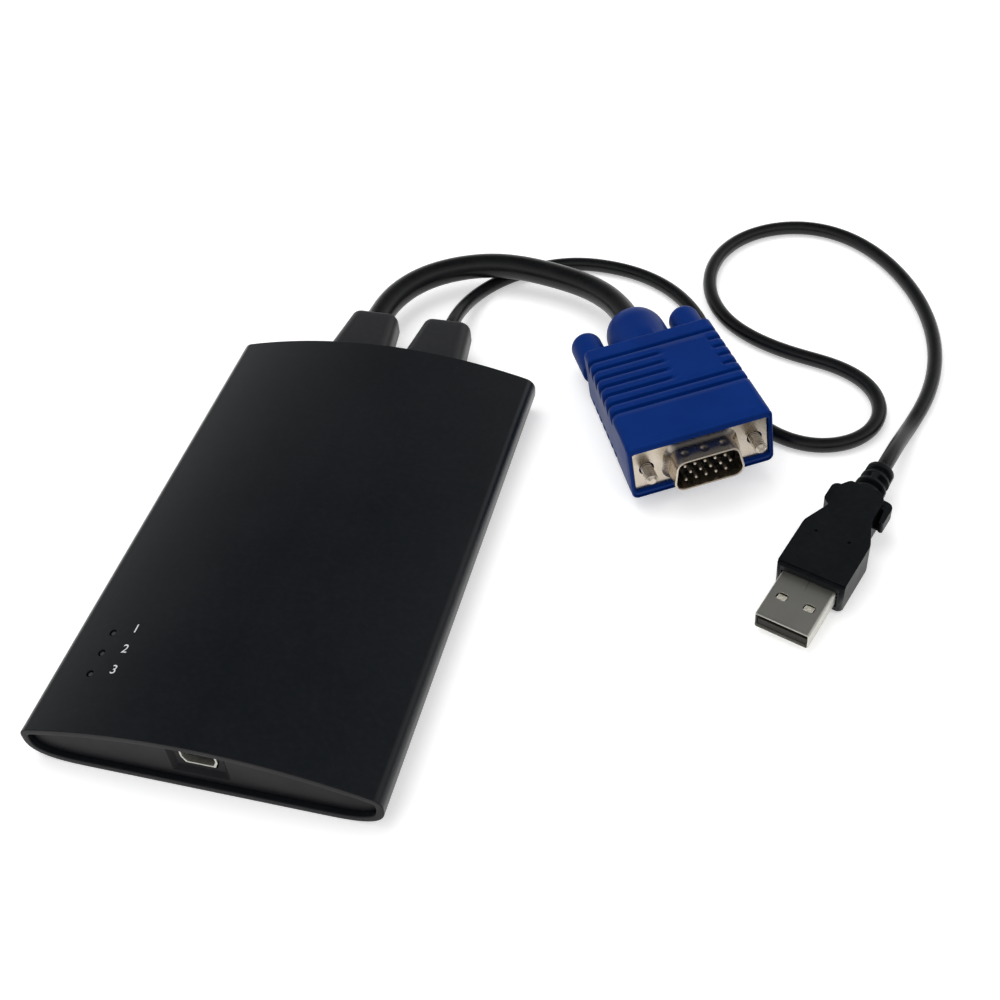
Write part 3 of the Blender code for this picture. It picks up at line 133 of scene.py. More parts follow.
def makeFloor():
    half, drop = stageLook["floorWidth"] / 2, -stageLook["floorDrop"] * mm
    mesh = bpy.data.meshes.new("floor")
    mesh.from_pydata([(-half, -half, drop), (half, -half, drop), (half, half, drop), (-half, half, drop)], [],
                     [(0, 1, 2, 3)])
    floor = linked("floor", mesh)
    material = bpy.data.materials.new("paleFloor")
    material.use_nodes = True
    tree = material.node_tree
    matt = tree.nodes["Principled BSDF"]
    shade = stageLook["floorShade"]
    feed(tree, matt, {"Base Color": (shade, shade, shade, 1.0), "Roughness": 1.0, "Specular IOR Level": 0.0})
    # the camera, and what mirrors the floor, see it lifted to white, with its shadow kept
    path = addNode(tree, "ShaderNodeLightPath").outputs
    seen = path["Is Camera Ray"]
    for kind in ("Is Glossy Ray", "Is Transmission Ray"):
        seen = addMath(tree, "MAXIMUM", seen, path[kind])
    where = addNode(tree, "ShaderNodeTexCoord").outputs["Object"]
    away = addNode(tree, "ShaderNodeVectorMath", {0: where}, operation="LENGTH").outputs["Value"]
    (near, far), (least, most) = stageLook["floorReach"], stageLook["floorLift"]
    grow = addNode(tree, "ShaderNodeMapRange",
                   {"Value": away, "From Min": near, "From Max": far, "To Min": least, "To Max": most})
    strength = addMath(tree, "MULTIPLY", seen, grow.outputs["Result"])
    lift = addNode(tree, "ShaderNodeEmission", {"Strength": strength})
    both = addNode(tree, "ShaderNodeAddShader", {0: matt.outputs["BSDF"], 1: lift.outputs["Emission"]})
    feed(tree, tree.nodes["Material Output"], {"Surface": both.outputs[0]})
    mesh.materials.append(material)


def makeSurround():
    # white to the camera, even on matt surfaces, and mirrored with one dark place
    world = bpy.data.worlds.new("softSurround")
    scene.world = world
    world.use_nodes = True
    tree = world.node_tree
    tree.nodes.clear()
    path = addNode(tree, "ShaderNodeLightPath").outputs
    where = addNode(tree, "ShaderNodeTexCoord").outputs["Generated"]
    ramp = addNode(tree, "ShaderNodeValToRGB", {"Fac": addDot(tree, where, stageLook["darkest"])})
    ramp.color_ramp.interpolation = "EASE"
    stops = stageLook["glossRamp"]
    while len(ramp.color_ramp.elements) < len(stops):
        ramp.color_ramp.elements.new(0.5)
    for element, (position, level) in zip(ramp.color_ramp.elements, stops):
        element.position = position
        element.color = (level, level, level, 1.0)
    white = (1.0, 1.0, 1.0, 1.0)
    lights = ((white, stageLook["surround"]), (ramp.outputs["Color"], 1.0), (white, 1.0))
    soft, mirrored, seen = (addNode(tree, "ShaderNodeBackground", {"Color": colour, "Strength": strength})
                            .outputs[0] for colour, strength in lights)
    glossy = addMath(tree, "MAXIMUM", path["Is Glossy Ray"], path["Is Transmission Ray"])
    first = addNode(tree, "ShaderNodeMixShader", {"Fac": glossy, 1: soft, 2: mirrored})
    second = addNode(tree, "ShaderNodeMixShader",
                     {"Fac": path["Is Camera Ray"], 1: first.outputs[0], 2: seen})
    addNode(tree, "ShaderNodeOutputWorld", {"Surface": second.outputs[0]})


lamps = {
    "keyLight": {"place": (-0.22, 0.16, 0.92), "size": 0.70, "watts": 4.2},
    "fillLight": {"place": (0.66, -0.20, 0.60), "size": 0.70, "watts": 1.6},
    "frontLight": {"place": (-0.40, -0.66, 0.66), "size": 0.60, "watts": 1.2},
}
lampAim = Vector((0.04, 0.04, 0.0))


def hangLamps():
    for name, look in lamps.items():
        data = bpy.data.lights.new(name, "AREA")
        data.size, data.energy = look["size"], look["watts"]
        lamp = linked(name, data)
        place = Vector(look["place"])
        turn = (lampAim - place).to_track_quat("-Z", "Y").to_matrix().to_4x4()
        lamp.matrix_world = Matrix.Translation(place) @ turn
        lamp.visible_glossy = False        # what shines mirrors only the surround


aimCamera()
makeFloor()
makeSurround()
hangLamps()


# shared effects, each a node group

print("finishes")


socketKinds = {
    "Colour": "NodeSocketColor", "Count": "NodeSocketInt", "Finish": "NodeSocketMaterial",
    "Geometry": "NodeSocketGeometry",
}


def startGroup(name, inputs, outputs, kind="ShaderNodeTree"):
    # the last word of a label says what its socket holds, or else it holds a number
    tree = bpy.data.node_groups.new(name, kind)

    def addSocket(label, way):
        holds = socketKinds.get(label.split()[-1], "NodeSocketFloat")
        return tree.interface.new_socket(label, in_out=way, socket_type=holds)

    for label, value in inputs.items():
        socket = addSocket(label, "INPUT")
        if value is not None:
            socket.default_value = value
    for label in outputs:
        addSocket(label, "OUTPUT")
    return tree, addNode(tree, "NodeGroupInput").outputs, addNode(tree, "NodeGroupOutput")


def makeGrainGroup():
    # fine tool texture and the slow drift of a moulding's tone
    tree, given, result = startGroup("mouldedGrain", {"Fine Scale": 4000.0, "Drift Scale": 60.0},
                                     ("Height", "Drift"))
    drift = addNoise(tree, given["Drift Scale"], 4.0)
    spread = addNode(tree, "ShaderNodeMapRange", {"Value": drift, "From Min": 0.32, "From Max": 0.68})
    fine = addNoise(tree, given["Fine Scale"], 2.0)
    feed(tree, result, {"Height": fine, "Drift": spread.outputs["Result"]})
    return tree


def makeWearAndHighlightGroup():
    # corners rubbed paler or brighter, broken up by noise: partly real wear, partly a painted highlight on
    # edges and ridges
    tree, given, result = startGroup(
        "rubbedEdgesAndPaintedHighlight",
        {"Colour": (0.1, 0.1, 0.1, 1.0), "Rubbed Colour": (0.5, 0.5, 0.5, 1.0), "Radius": 0.0004,
         "Amount": 1.0, "Patch Scale": 400.0}, ("Colour",))
    rounded = addNode(tree, "ShaderNodeBevel", {"Radius": given["Radius"]}, samples=4)
    straight = addNode(tree, "ShaderNodeNewGeometry")
    turn = addDot(tree, rounded.outputs["Normal"], straight.outputs["Normal"])
    corner = addMath(tree, "SUBTRACT", 1.0, turn, clamp=True)
    patchy = addMath(tree, "MULTIPLY", corner, addNoise(tree, given["Patch Scale"], 3.0))
    mask = addMath(tree, "MULTIPLY", patchy, given["Amount"], clamp=True)
    feed(tree, result, {"Colour": addMix(tree, mask, given["Colour"], given["Rubbed Colour"])})
    return tree


def makeDustGroup():
    # thin dust on what faces up
    tree, given, result = startGroup(
        "settledDust",
        {"Colour": (0.1, 0.1, 0.1, 1.0), "Dust Colour": (0.5, 0.5, 0.48, 1.0), "Amount": 0.02,
         "Speck Scale": 900.0, "Cover": 8.0}, ("Colour",))
    facing = addNode(tree, "ShaderNodeNewGeometry").outputs["Normal"]
    height = addNode(tree, "ShaderNodeSeparateXYZ", {0: facing}).outputs["Z"]
    upward = addMath(tree, "MULTIPLY", height, 1.0, clamp=True)
    thin = addMath(tree, "POWER", addNoise(tree, given["Speck Scale"], 5.0), 3.0)
    laid = addMath(tree, "MULTIPLY", upward, thin)
    scaled = addMath(tree, "MULTIPLY", laid, given["Amount"])
    mask = addMath(tree, "MULTIPLY", scaled, given["Cover"], clamp=True)
    feed(tree, result, {"Colour": addMix(tree, mask, given["Colour"], given["Dust Colour"])})
    return tree


grainGroup = makeGrainGroup()
wearAndHighlightGroup = makeWearAndHighlightGroup()
dustGroup = makeDustGroup()


def tint(red, green, blue):
    # a colour as it reads on screen, made linear
    levels = [v / 255 for v in (red, green, blue)]
    return tuple(v / 12.92 if v <= 0.04045 else ((v + 0.055) / 1.055) ** 2.4 for v in levels) + (1.0,)


def makeFinish(name, colours, shine, grain, drift, rubAndHighlight, dust, metallic=0.0, specular=0.5, coat=0.0):
    # colours: as made, drifted, and rubbed, where the rubbed colour is partly a painted edge highlight;
    # shine: roughness and its spread;
    # grain: scale and depth in mm; drift: scale; edge rubbing: radius in mm and amount, partly wear and
    # partly a painted highlight
    made, drifted, rubbedAndHighlit = (tint(*colour) for colour in colours)
    (roughness, spread), (grainScale, grainDepth), (rubAndHighlightRadius, rubAndHighlightAmount) = shine, grain, rubAndHighlight
    material = bpy.data.materials.new(name)
    material.use_nodes = True
    tree = material.node_tree
    texture = addNode(tree, "ShaderNodeGroup", {"Fine Scale": grainScale, "Drift Scale": drift},
                      node_tree=grainGroup)
    slow = texture.outputs["Drift"]
    # edge rubbing: partly wear, partly a painted highlight on edges and ridges
    wornAndHighlit = addNode(tree, "ShaderNodeGroup",
                   {"Colour": addMix(tree, slow, made, drifted), "Rubbed Colour": rubbedAndHighlit,
                    "Radius": rubAndHighlightRadius * mm, "Amount": rubAndHighlightAmount}, node_tree=wearAndHighlightGroup)
    dusted = addNode(tree, "ShaderNodeGroup", {"Colour": wornAndHighlit.outputs["Colour"], "Amount": dust},
                     node_tree=dustGroup)
    rough = addNode(tree, "ShaderNodeMapRange",
                    {"Value": slow, "To Min": roughness - spread, "To Max": roughness + spread})
    bump = addNode(tree, "ShaderNodeBump", {"Distance": grainDepth * mm, "Height": texture.outputs["Height"]})
    feed(tree, tree.nodes["Principled BSDF"], {
        "Base Color": dusted.outputs["Colour"], "Roughness": rough.outputs["Result"],
        "Normal": bump.outputs["Normal"], "Metallic": metallic, "Specular IOR Level": specular,
        "Coat Weight": coat, "Coat Roughness": 0.1})
    return material


sleeveLacquer = makeFinish(
    "sleeveLacquer", ((13, 17, 21), (15, 19, 23), (36, 39, 42)), shine=(0.32, 0.03), grain=(5200.0, 0.003),
    drift=45.0, rubAndHighlight=(0.3, 0.4), dust=0.002, specular=0.30)
plateMoulding = makeFinish(
    "plateMoulding", ((20, 20, 23), (23, 23, 26), (38, 36, 40)), shine=(0.44, 0.04), grain=(4200.0, 0.006),
    drift=120.0, rubAndHighlight=(0.25, 0.8), dust=0.003, specular=0.12)
bootVinyl = makeFinish(
    "bootVinyl", ((24, 25, 28), (27, 28, 31), (56, 56, 60)), shine=(0.44, 0.04), grain=(2600.0, 0.008),
    drift=150.0, rubAndHighlight=(0.4, 0.6), dust=0.004, specular=0.42)
cordVinyl = makeFinish(
    "cordVinyl", ((10, 11, 13), (14, 15, 17), (34, 34, 36)), shine=(0.30, 0.04), grain=(2200.0, 0.008),
    drift=180.0, rubAndHighlight=(0.4, 0.2), dust=0.003, specular=0.32)
hoodVinyl = makeFinish(
    "hoodVinyl", ((0, 40, 110), (0, 44, 117), (24, 66, 148)), shine=(0.42, 0.04), grain=(3000.0, 0.008),
    drift=110.0, rubAndHighlight=(0.3, 0.8), dust=0.0, specular=0.08)
# the pale rubbed colour on the grip's edges and relief ridges is mostly a painted highlight
gripVinyl = makeFinish(
    "gripVinyl", ((9, 13, 16), (11, 15, 18), (50, 52, 56)), shine=(0.42, 0.03), grain=(2600.0, 0.008),
    drift=160.0, rubAndHighlight=(0.3, 1.0), dust=0.002, specular=0.18)
nickelPlate = makeFinish(
    "nickelPlate", ((198, 188, 174), (190, 179, 164), (226, 220, 208)), shine=(0.27, 0.02),
    grain=(1500.0, 0.0008), drift=260.0, rubAndHighlight=(0.25, 1.0), dust=0.0, metallic=1.0)
tinSheet = makeFinish(
    "tinSheet", ((212, 211, 204), (204, 203, 195), (232, 230, 224)), shine=(0.50, 0.03),
    grain=(1800.0, 0.0008), drift=240.0, rubAndHighlight=(0.25, 1.0), dust=0.0, metallic=1.0)
goldWipe = makeFinish(
    "goldWipe", ((226, 186, 104), (206, 164, 84), (244, 226, 178)), shine=(0.24, 0.05),
    grain=(2400.0, 0.003), drift=600.0, rubAndHighlight=(0.15, 1.0), dust=0.0, metallic=1.0)
pinTin = makeFinish(
    "pinTin", ((214, 208, 196), (190, 182, 168), (250, 246, 236)), shine=(0.30, 0.05),
    grain=(2400.0, 0.003), drift=600.0, rubAndHighlight=(0.15, 1.0), dust=0.0, metallic=1.0)
chipEpoxy = makeFinish(
    "chipEpoxy", ((15, 16, 17), (19, 20, 21), (60, 60, 62)), shine=(0.58, 0.06), grain=(5000.0, 0.012),
    drift=300.0, rubAndHighlight=(0.15, 0.8), dust=0.02, specular=0.15)
# dark brown: partly the tongue's own colour, partly painted shade inside the plug's mouth
tongueNylonAndMouthShade = makeFinish(
    "tongueNylonAndMouthShade", ((24, 20, 13), (32, 27, 17), (60, 54, 36)), shine=(0.60, 0.06), grain=(3600.0, 0.010),
    drift=500.0, rubAndHighlight=(0.2, 0.6), dust=0.0)
boardLacquer = makeFinish(
    "boardLacquer", ((14, 74, 44), (20, 92, 54), (150, 150, 92)), shine=(0.36, 0.06), grain=(2600.0, 0.010),
    drift=320.0, rubAndHighlight=(0.2, 1.0), dust=0.02)
# pale nylon for the headers and lights, and as a painted highlight on the bus plug's window tabs
headerNylonAndPaintedTabHighlight = makeFinish(
    "headerNylonAndPaintedTabHighlight", ((214, 210, 194), (224, 221, 208), (236, 234, 226)), shine=(0.52, 0.05),
    grain=(3600.0, 0.010), drift=260.0, rubAndHighlight=(0.2, 0.8), dust=0.02)
guideResin = makeFinish(
    "guideResin", ((30, 32, 34), (44, 47, 50), (90, 94, 98)), shine=(0.16, 0.04), grain=(2600.0, 0.002),
    drift=700.0, rubAndHighlight=(0.1, 0.6), dust=0.0, coat=0.4)
screwSteel = makeFinish(
    "screwSteel", ((168, 167, 164), (140, 139, 136), (228, 226, 220)), shine=(0.32, 0.07),
    grain=(1800.0, 0.005), drift=600.0, rubAndHighlight=(0.2, 1.2), dust=0.01, metallic=1.0)
printWhite = makeFinish(
    "printWhite", ((206, 208, 210), (226, 228, 230), (150, 152, 154)), shine=(0.50, 0.04),
    grain=(5200.0, 0.004), drift=900.0, rubAndHighlight=(0.05, 0.4), dust=0.0)

nodeFinishes = {
    plateMoulding: ("front_end_plate", "rear_end_plate"),
    screwSteel: ("left_end_screw", "right_end_screw"),
    boardLacquer: ("main_board",),
    tinSheet: ("mini_port_shell", "clock_crystal"),
    chipEpoxy: ("mini_port_insert", "controller_chip", "video_converter_chip", "memory_chip",
                "bus_controller_chip", "voltage_regulator", "video_plug_insulator"),
    headerNylonAndPaintedTabHighlight: ("status_led_1", "status_led_2", "status_led_3", "video_lead_header", "bus_lead_header"),
    guideResin: ("light_guide",),
    cordVinyl: ("video_lead_harness", "bus_lead_harness"),
    tongueNylonAndMouthShade: ("bus_plug_tongue",),
    goldWipe: ("bus_contact_1", "bus_contact_2", "bus_contact_3", "bus_contact_4"),
}
for material, names in nodeFinishes.items():
    for name in names:
        nodes[name].data.materials.clear()
        nodes[name].data.materials.append(material)


# making meshes

def at(x, y, z):
    # a point given in mm
    return Vector((x, y, z)) * mm


def arc(steps, first=0, turn=90):
    # sine and cosine at even steps of a turn in degrees
    angles = [math.radians(turn * k / steps) for k in range(first, steps + 1)]
    return [(math.sin(angle), math.cos(angle)) for angle in angles]


def circle(radius, count, centre=0.0):
    # an even ring of (x, z) points
    angles = [2 * math.pi * k / count for k in range(count)]
    return [(centre + radius * math.cos(angle), radius * math.sin(angle)) for angle in angles]


def rectangle(x0, y0, x1, y1):
    return [(x0, y0), (x1, y0), (x1, y1), (x0, y1)]


def ringAt(loop, y):
    # an outline in x and z, in mm, as a ring of points at y
    return [at(x, y, z) for x, z in loop]


def turnAbout(axis, angle):
    return Matrix.Rotation(math.radians(angle), 4, axis)


def stitch(shape, lower, upper, closed=True):
    # faces between two rows of points
    count = len(lower)
    for k in range(count if closed else count - 1):
        after = (k + 1) % count
        shape.faces.new((lower[k], lower[after], upper[after], upper[k]))


def sortFaces(shape):
    # faces in the order of their points
    shape.verts.index_update()
    count = len(shape.verts)

    def rank(face):
        numbers = [vertex.index for vertex in face.verts]
        return min(numbers) * count + max(numbers)

    shape.faces.sort(key=rank)


def skin(rings, around=False):
    # a closed skin through rings that have the same number of points
    shape = bmesh.new()
    loops = [[shape.verts.new(point) for point in ring] for ring in rings]
    for lower, upper in zip(loops, loops[1:] + (loops[:1] if around else [])):
        stitch(shape, lower, upper)
    if not around:
        shape.faces.new(loops[0])
        shape.faces.new(loops[-1])
    bmesh.ops.recalc_face_normals(shape, faces=shape.faces)
    return shape


def turned(profile, steps):
    # a skin of (radius, y) points, in mm, turned about the y axis; both ends lie on the axis
    shape = bmesh.new()
    rings = [[shape.verts.new(point) for point in ringAt(circle(radius, steps), y)]
             for radius, y in profile[1:-1]]
    tips = [shape.verts.new(at(0.0, profile[j][1], 0.0)) for j in (0, -1)]
    for lower, upper in zip(rings, rings[1:]):
        stitch(shape, lower, upper)
    for tip, ring in zip(tips, (rings[0], rings[-1])):
        for k in range(steps):
            shape.faces.new((tip, ring[k], ring[(k + 1) % steps]))
    bmesh.ops.recalc_face_normals(shape, faces=shape.faces)
    return shape


def finishShape(name, shape, material, place=Matrix.Identity(4), sharp=32.0):
    # the shape as an object at the origin, its place in its mesh
    bmesh.ops.transform(shape, matrix=place, verts=shape.verts)
    mesh = bpy.data.meshes.new(name)
    shape.to_mesh(mesh)
    shape.free()
    mesh.materials.append(material)
    mesh.shade_smooth()
    mesh.set_sharp_from_angle(angle=math.radians(sharp))
    return linked(name, mesh)


def evaluated(piece):
    # a mesh of the object with its curves and modifiers worked out
    bpy.context.view_layer.update()
    return bpy.data.meshes.new_from_object(piece.evaluated_get(bpy.context.evaluated_depsgraph_get()))


def freeze(piece):
    # an object's modifiers, made part of its mesh
    mesh = evaluated(piece)
    piece.modifiers.clear()
    piece.data = mesh


def curveShape(name, curve, weld):
    # a filled curve or a text as a closed shape
    guide = linked(name + "Guide", curve)
    mesh = evaluated(guide)
    bpy.data.objects.remove(guide)
    shape = bmesh.new()
    shape.from_mesh(mesh)
    bmesh.ops.remove_doubles(shape, verts=shape.verts, dist=weld)
    bmesh.ops.recalc_face_normals(shape, faces=shape.faces)
    return shape


def slab(name, loops, start, end, material, place=Matrix.Identity(4), flat=False):
    # outlines in mm, the first outside and the rest holes, drawn out along y, or along z if flat
    curve = bpy.data.curves.new(name, "CURVE")
    curve.dimensions = "2D"
    curve.fill_mode = "BOTH"
    curve.extrude = (end - start) / 2 * mm
    for loop in loops:
        spline = curve.splines.new("POLY")
        spline.points.add(len(loop) - 1)
        for point, (x, z) in zip(spline.points, loop):
            point.co = (x * mm, z * mm, 0.0, 1.0)
        spline.use_cyclic_u = True
    shape = curveShape(name, curve, 1e-6)
    middle = (start + end) / 2 * mm
    if flat:
        stand = Matrix.Translation((0.0, 0.0, middle))
    else:
        stand = Matrix.Translation((0.0, middle, 0.0)) @ turnAbout("X", 90)
    bmesh.ops.transform(shape, matrix=stand, verts=shape.verts)
    return finishShape(name, shape, material, place)


cutOver = 1.0      # how far cutters stand out of what they cut, in mm


def cutFrom(piece, cutters):
    # takes shapes out of a piece; the cutters go
    for cutter in cutters:
        modifier = piece.modifiers.new("cut", "BOOLEAN")
        modifier.operation, modifier.solver = "DIFFERENCE", "EXACT"
        modifier.object = cutter
    freeze(piece)
    for cutter in cutters:
        bpy.data.objects.remove(cutter, do_unlink=True)


def roundEdges(piece, width, segments, angle=50.0):
    modifier = piece.modifiers.new("round", "BEVEL")
    modifier.width, modifier.segments = width * mm, segments
    modifier.limit_method, modifier.angle_limit = "ANGLE", math.radians(angle)
    modifier.harden_normals = True
    freeze(piece)


def evenShine(piece, least=3.0, reach=42.0):
    # large flat faces keep their own normals, and the bent corners beside them turn to meet those
    mesh = piece.data
    flats = {}
    for face in mesh.polygons:
        if face.area > least * mm * mm:
            for vertex in face.vertices:
                flats.setdefault(vertex, []).append(face.normal.copy())
    normals = [corner.vector.copy() for corner in mesh.corner_normals]
    for face in mesh.polygons:
        for corner, vertex in zip(face.loop_indices, face.vertices):
            for normal in flats.get(vertex, ()):
                if face.normal.angle(normal) < math.radians(reach):
                    normals[corner] = normal
    mesh.normals_split_custom_set(normals)
    return piece


def joined(name, pieces):
    # several pieces as one object, each part with its own material
    shape = bmesh.new()
    slots = []
    for piece in pieces:
        before = len(shape.faces)
        shape.from_mesh(piece.data)
        shape.faces.ensure_lookup_table()
        for face in list(shape.faces)[before:]:
            own = piece.data.materials[face.material_index]
            if own not in slots:
                slots.append(own)
            face.material_index = slots.index(own)
    mesh = bpy.data.meshes.new(name)
    shape.to_mesh(mesh)
    shape.free()
    for own in slots:
        mesh.materials.append(own)
    for piece in pieces:
        bpy.data.objects.remove(piece, do_unlink=True)
    return linked(name, mesh)


def standsFor(piece, body, *replaced):
    # the piece rides on a body in place of the CAD's own solids
    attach(piece, body)
    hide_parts(*replaced)
    return piece


# outlines and lines

def roundedBox(halfWidth, halfHeight, radius, steps=8, centre=(0.0, 0.0)):
    points = []
    for quarter, (sx, sz) in enumerate(((1, 1), (-1, 1), (-1, -1), (1, -1))):
        for k in range(steps + 1):
            angle = math.radians(90 * (quarter + k / steps))
            points.append((centre[0] + sx * (halfWidth - radius) + radius * math.cos(angle),
                           centre[1] + sz * (halfHeight - radius) + radius * math.sin(angle)))
    return points


def roundedCorners(corners, steps):
    # outline through corners (x, z, radius), each an arc
    result = []
    count = len(corners)
    for k in range(count):
        before, here, after = (Vector(corners[j][:2]) for j in (k - 1, k, (k + 1) % count))
        radius = corners[k][2]
        toBefore, toAfter = (before - here).normalized(), (after - here).normalized()
        halfAngle = toBefore.angle(toAfter) / 2
        reach = radius / math.tan(halfAngle)
        start, end = here + toBefore * reach, here + toAfter * reach
        centre = here + (toBefore + toAfter).normalized() * (radius / math.sin(halfAngle))
        sweep = (start - centre).angle_signed(end - centre)
        for j in range(steps + 1):
            result.append(tuple(centre + Matrix.Rotation(-sweep * j / steps, 2) @ (start - centre)))
    return result


def inward(loop, distance):
    # a counter-clockwise outline moved in along its own normals
    result = []
    for k, (x, z) in enumerate(loop):
        along = (Vector(loop[(k + 1) % len(loop)]) - Vector(loop[k - 1])).normalized()
        result.append((x - along.y * distance, z + along.x * distance))
    return result


def throughPoints(points, steps=24):
    # a smooth line through the points; the first and the last only steer its ends
    line = []
    for a, b, c, d in zip(points, points[1:], points[2:], points[3:]):
        for k in range(steps):
            t = k / steps
            line.append(0.5 * (2 * b + (c - a) * t + (2 * a - 5 * b + 4 * c - d) * t * t
                               + (3 * b - a - 3 * c + d) * t ** 3))
    return line + [points[-2]]


def lineLength(line):
    return sum((b - a).length for a, b in zip(line, line[1:]))


def evenly(line, step):
    # points an even step apart on a line, both ends kept
    lengths = [0.0]
    for a, b in zip(line, line[1:]):
        lengths.append(lengths[-1] + (b - a).length)
    count = max(2, round(lengths[-1] / step))
    result, here = [], 0
    for k in range(count + 1):
        target = lengths[-1] * k / count
        while here < len(line) - 2 and lengths[here + 1] < target:
            here += 1
        share = (target - lengths[here]) / (lengths[here + 1] - lengths[here])
        result.append(line[here].lerp(line[here + 1], share))
    return result


def evenLoop(loop, count):
    # the same outline with an even number of points all round, from its first point
    closed = [Vector((x, 0.0, z)) for x, z in loop + loop[:1]]
    return [(point.x, point.z) for point in evenly(closed, lineLength(closed) / count)[:-1]]


def stepped(start, end, step):
    # values a step apart, from the start to below the end
    values = []
    while start < end:
        values.append(start)
        start += step
    return values


def easeIn(value, start, end):
    t = min(1.0, max(0.0, (value - start) / (end - start)))
    return t * t * (3 - 2 * t)


# cords

print("cords")


def plugPlace(place, yaw, pitch, roll):
    return (Matrix.Translation(Vector(place) * mm) @ turnAbout("Z", yaw) @ turnAbout("X", pitch)
            @ turnAbout("Y", roll))


videoPlace = plugPlace((80.0, 39.1, 11.9), 28.6, -4.0, -4.6)
busPlace = plugPlace((102.9, -0.1, 3.6), -19.0, 3.0, 0.0)
bootRear = 75.1
bootHeight = 7.105

videoCord = {
    "diameter": 6.4, "bootX": -8.0, "plugRear": 52.0, "axes": videoPlace,
    "route": [
        (-7.3, 83.6, 7.1), (-4.7, 90.0, 7.1), (-0.4, 95.5, 7.1), (5.3, 99.5, 7.1), (11.8, 102.1, 7.2),
        (18.6, 103.1, 7.3), (25.6, 102.7, 7.2), (32.5, 101.5, 7.0), (39.2, 99.6, 7.0), (45.3, 96.4, 7.3),
        (50.5, 91.8, 7.7),
    ],
}
busCord = {
    "diameter": 3.5, "bootX": 11.0, "plugRear": 49.6, "axes": busPlace,
    "route": [
        (11.0, 85.6, 5.3), (12.2, 95.3, 2.7), (16.9, 103.9, 1.8), (24.8, 110.2, 1.8), (34.0, 114.1, 1.8),
        (44.0, 114.4, 1.8), (53.8, 112.1, 1.8), (62.4, 107.0, 1.8), (69.1, 99.6, 1.8), (74.0, 90.7, 1.8),
        (78.1, 81.6, 1.8), (82.3, 72.4, 1.8), (87.7, 64.0, 1.8), (95.7, 57.9, 1.8), (105.5, 56.5, 1.8),
        (114.3, 61.1, 1.8), (117.9, 70.2, 1.8), (114.5, 79.5, 1.8), (106.3, 85.0, 1.8), (96.5, 87.4, 1.8),
        (87.1, 90.9, 1.8), (78.8, 96.6, 1.8), (73.1, 104.8, 1.8), (70.7, 114.5, 1.8), (71.9, 124.5, 1.8),
        (76.9, 133.1, 1.8), (85.1, 138.8, 1.8), (94.9, 140.5, 1.8), (104.5, 137.7, 1.8),
        (112.5, 131.6, 1.8), (118.8, 123.8, 1.8), (123.7, 115.0, 1.8), (127.1, 105.5, 1.8),
        (128.9, 95.6, 1.8), (129.0, 85.6, 1.8), (127.4, 75.6, 1.8), (124.3, 66.1, 1.8), (121.9, 56.9, 4.9),
    ],
}
cordLay = {"gap": 0.3, "leadIn": 3.0, "steer": 5.0, "lift": 0.05, "step": 1.5, "easing": 10, "facets": 6}


def layCord(name, cord):
    lay = cordLay
    reaches = (0.0, lay["leadIn"], lay["leadIn"] - lay["steer"])
    start, lead, steer = (at(cord["bootX"], bootRear + lay["gap"] + reach, bootHeight) for reach in reaches)
    end, endLead, endSteer = (cord["axes"] @ at(0.0, cord["plugRear"] + lay["gap"] + reach, 0.0)
                              for reach in reaches)
    bends = throughPoints([steer, lead] + [at(*point) for point in cord["route"]] + [endLead, endSteer])
    line = evenly([start] + bends + [end], lay["step"] * mm)
    radius = cord["diameter"] / 2 * mm
    for turn in range(lay["easing"]):          # the cord's own stiffness evens out its bends
        eased = [(a + 2 * b + c) / 4 for a, b, c in zip(line[1:], line[2:], line[3:-1])]
        line = line[:2] + eased + line[-2:]
    for point in line:
        point.z = max(point.z, radius + lay["lift"] * mm)
    curve = bpy.data.curves.new(name, "CURVE")
    curve.dimensions = "3D"
    curve.bevel_depth, curve.bevel_resolution = radius, lay["facets"]
    curve.use_fill_caps = True
    spline = curve.splines.new("POLY")
    spline.points.add(len(line) - 1)
    for target, point in zip(spline.points, line):
        target.co = (*point, 1.0)
    spline.use_smooth = True
    curve.materials.append(cordVinyl)
    cord["start"], cord["length"] = start, lineLength(line)
    print(name, "length", round(cord["length"] / mm, 1), "mm")
    return linked(name, curve)


videoCordPiece = standsFor(layCord("videoCord", videoCord), "adapter", "video_cord")
busCordPiece = standsFor(layCord("busCord", busCord), "adapter", "bus_cord")


# case sleeve

print("case")
case = {
    "width": 75.0, "length": 117.0, "height": 14.5, "waist": 6.815, "wall": 1.6, "corner": 2.8, "flat": 48.0,
    "bellyBend": 2 / 3, "bellySteps": 18, "cornerSteps": 12, "crownSteps": 26,
    "rim": 0.22, "lip": 0.22, "rimSteps": 5, "endFacing": 0.3,
    "lightX": -27.975, "lightY": -34.164, "lightPitch": 5.2, "lightCount": 3, "lightRadius": 0.8,
    "drillReach": 3.0, "sinkFoot": -0.08, "sinkTop": 0.10, "sinkSpread": 0.24,
}
shoulder = case["height"] - case["waist"]
crownRadius = (((case["width"] / 2) ** 2 + shoulder ** 2 - case["corner"] * case["width"])
               / (2 * (shoulder - case["corner"])))


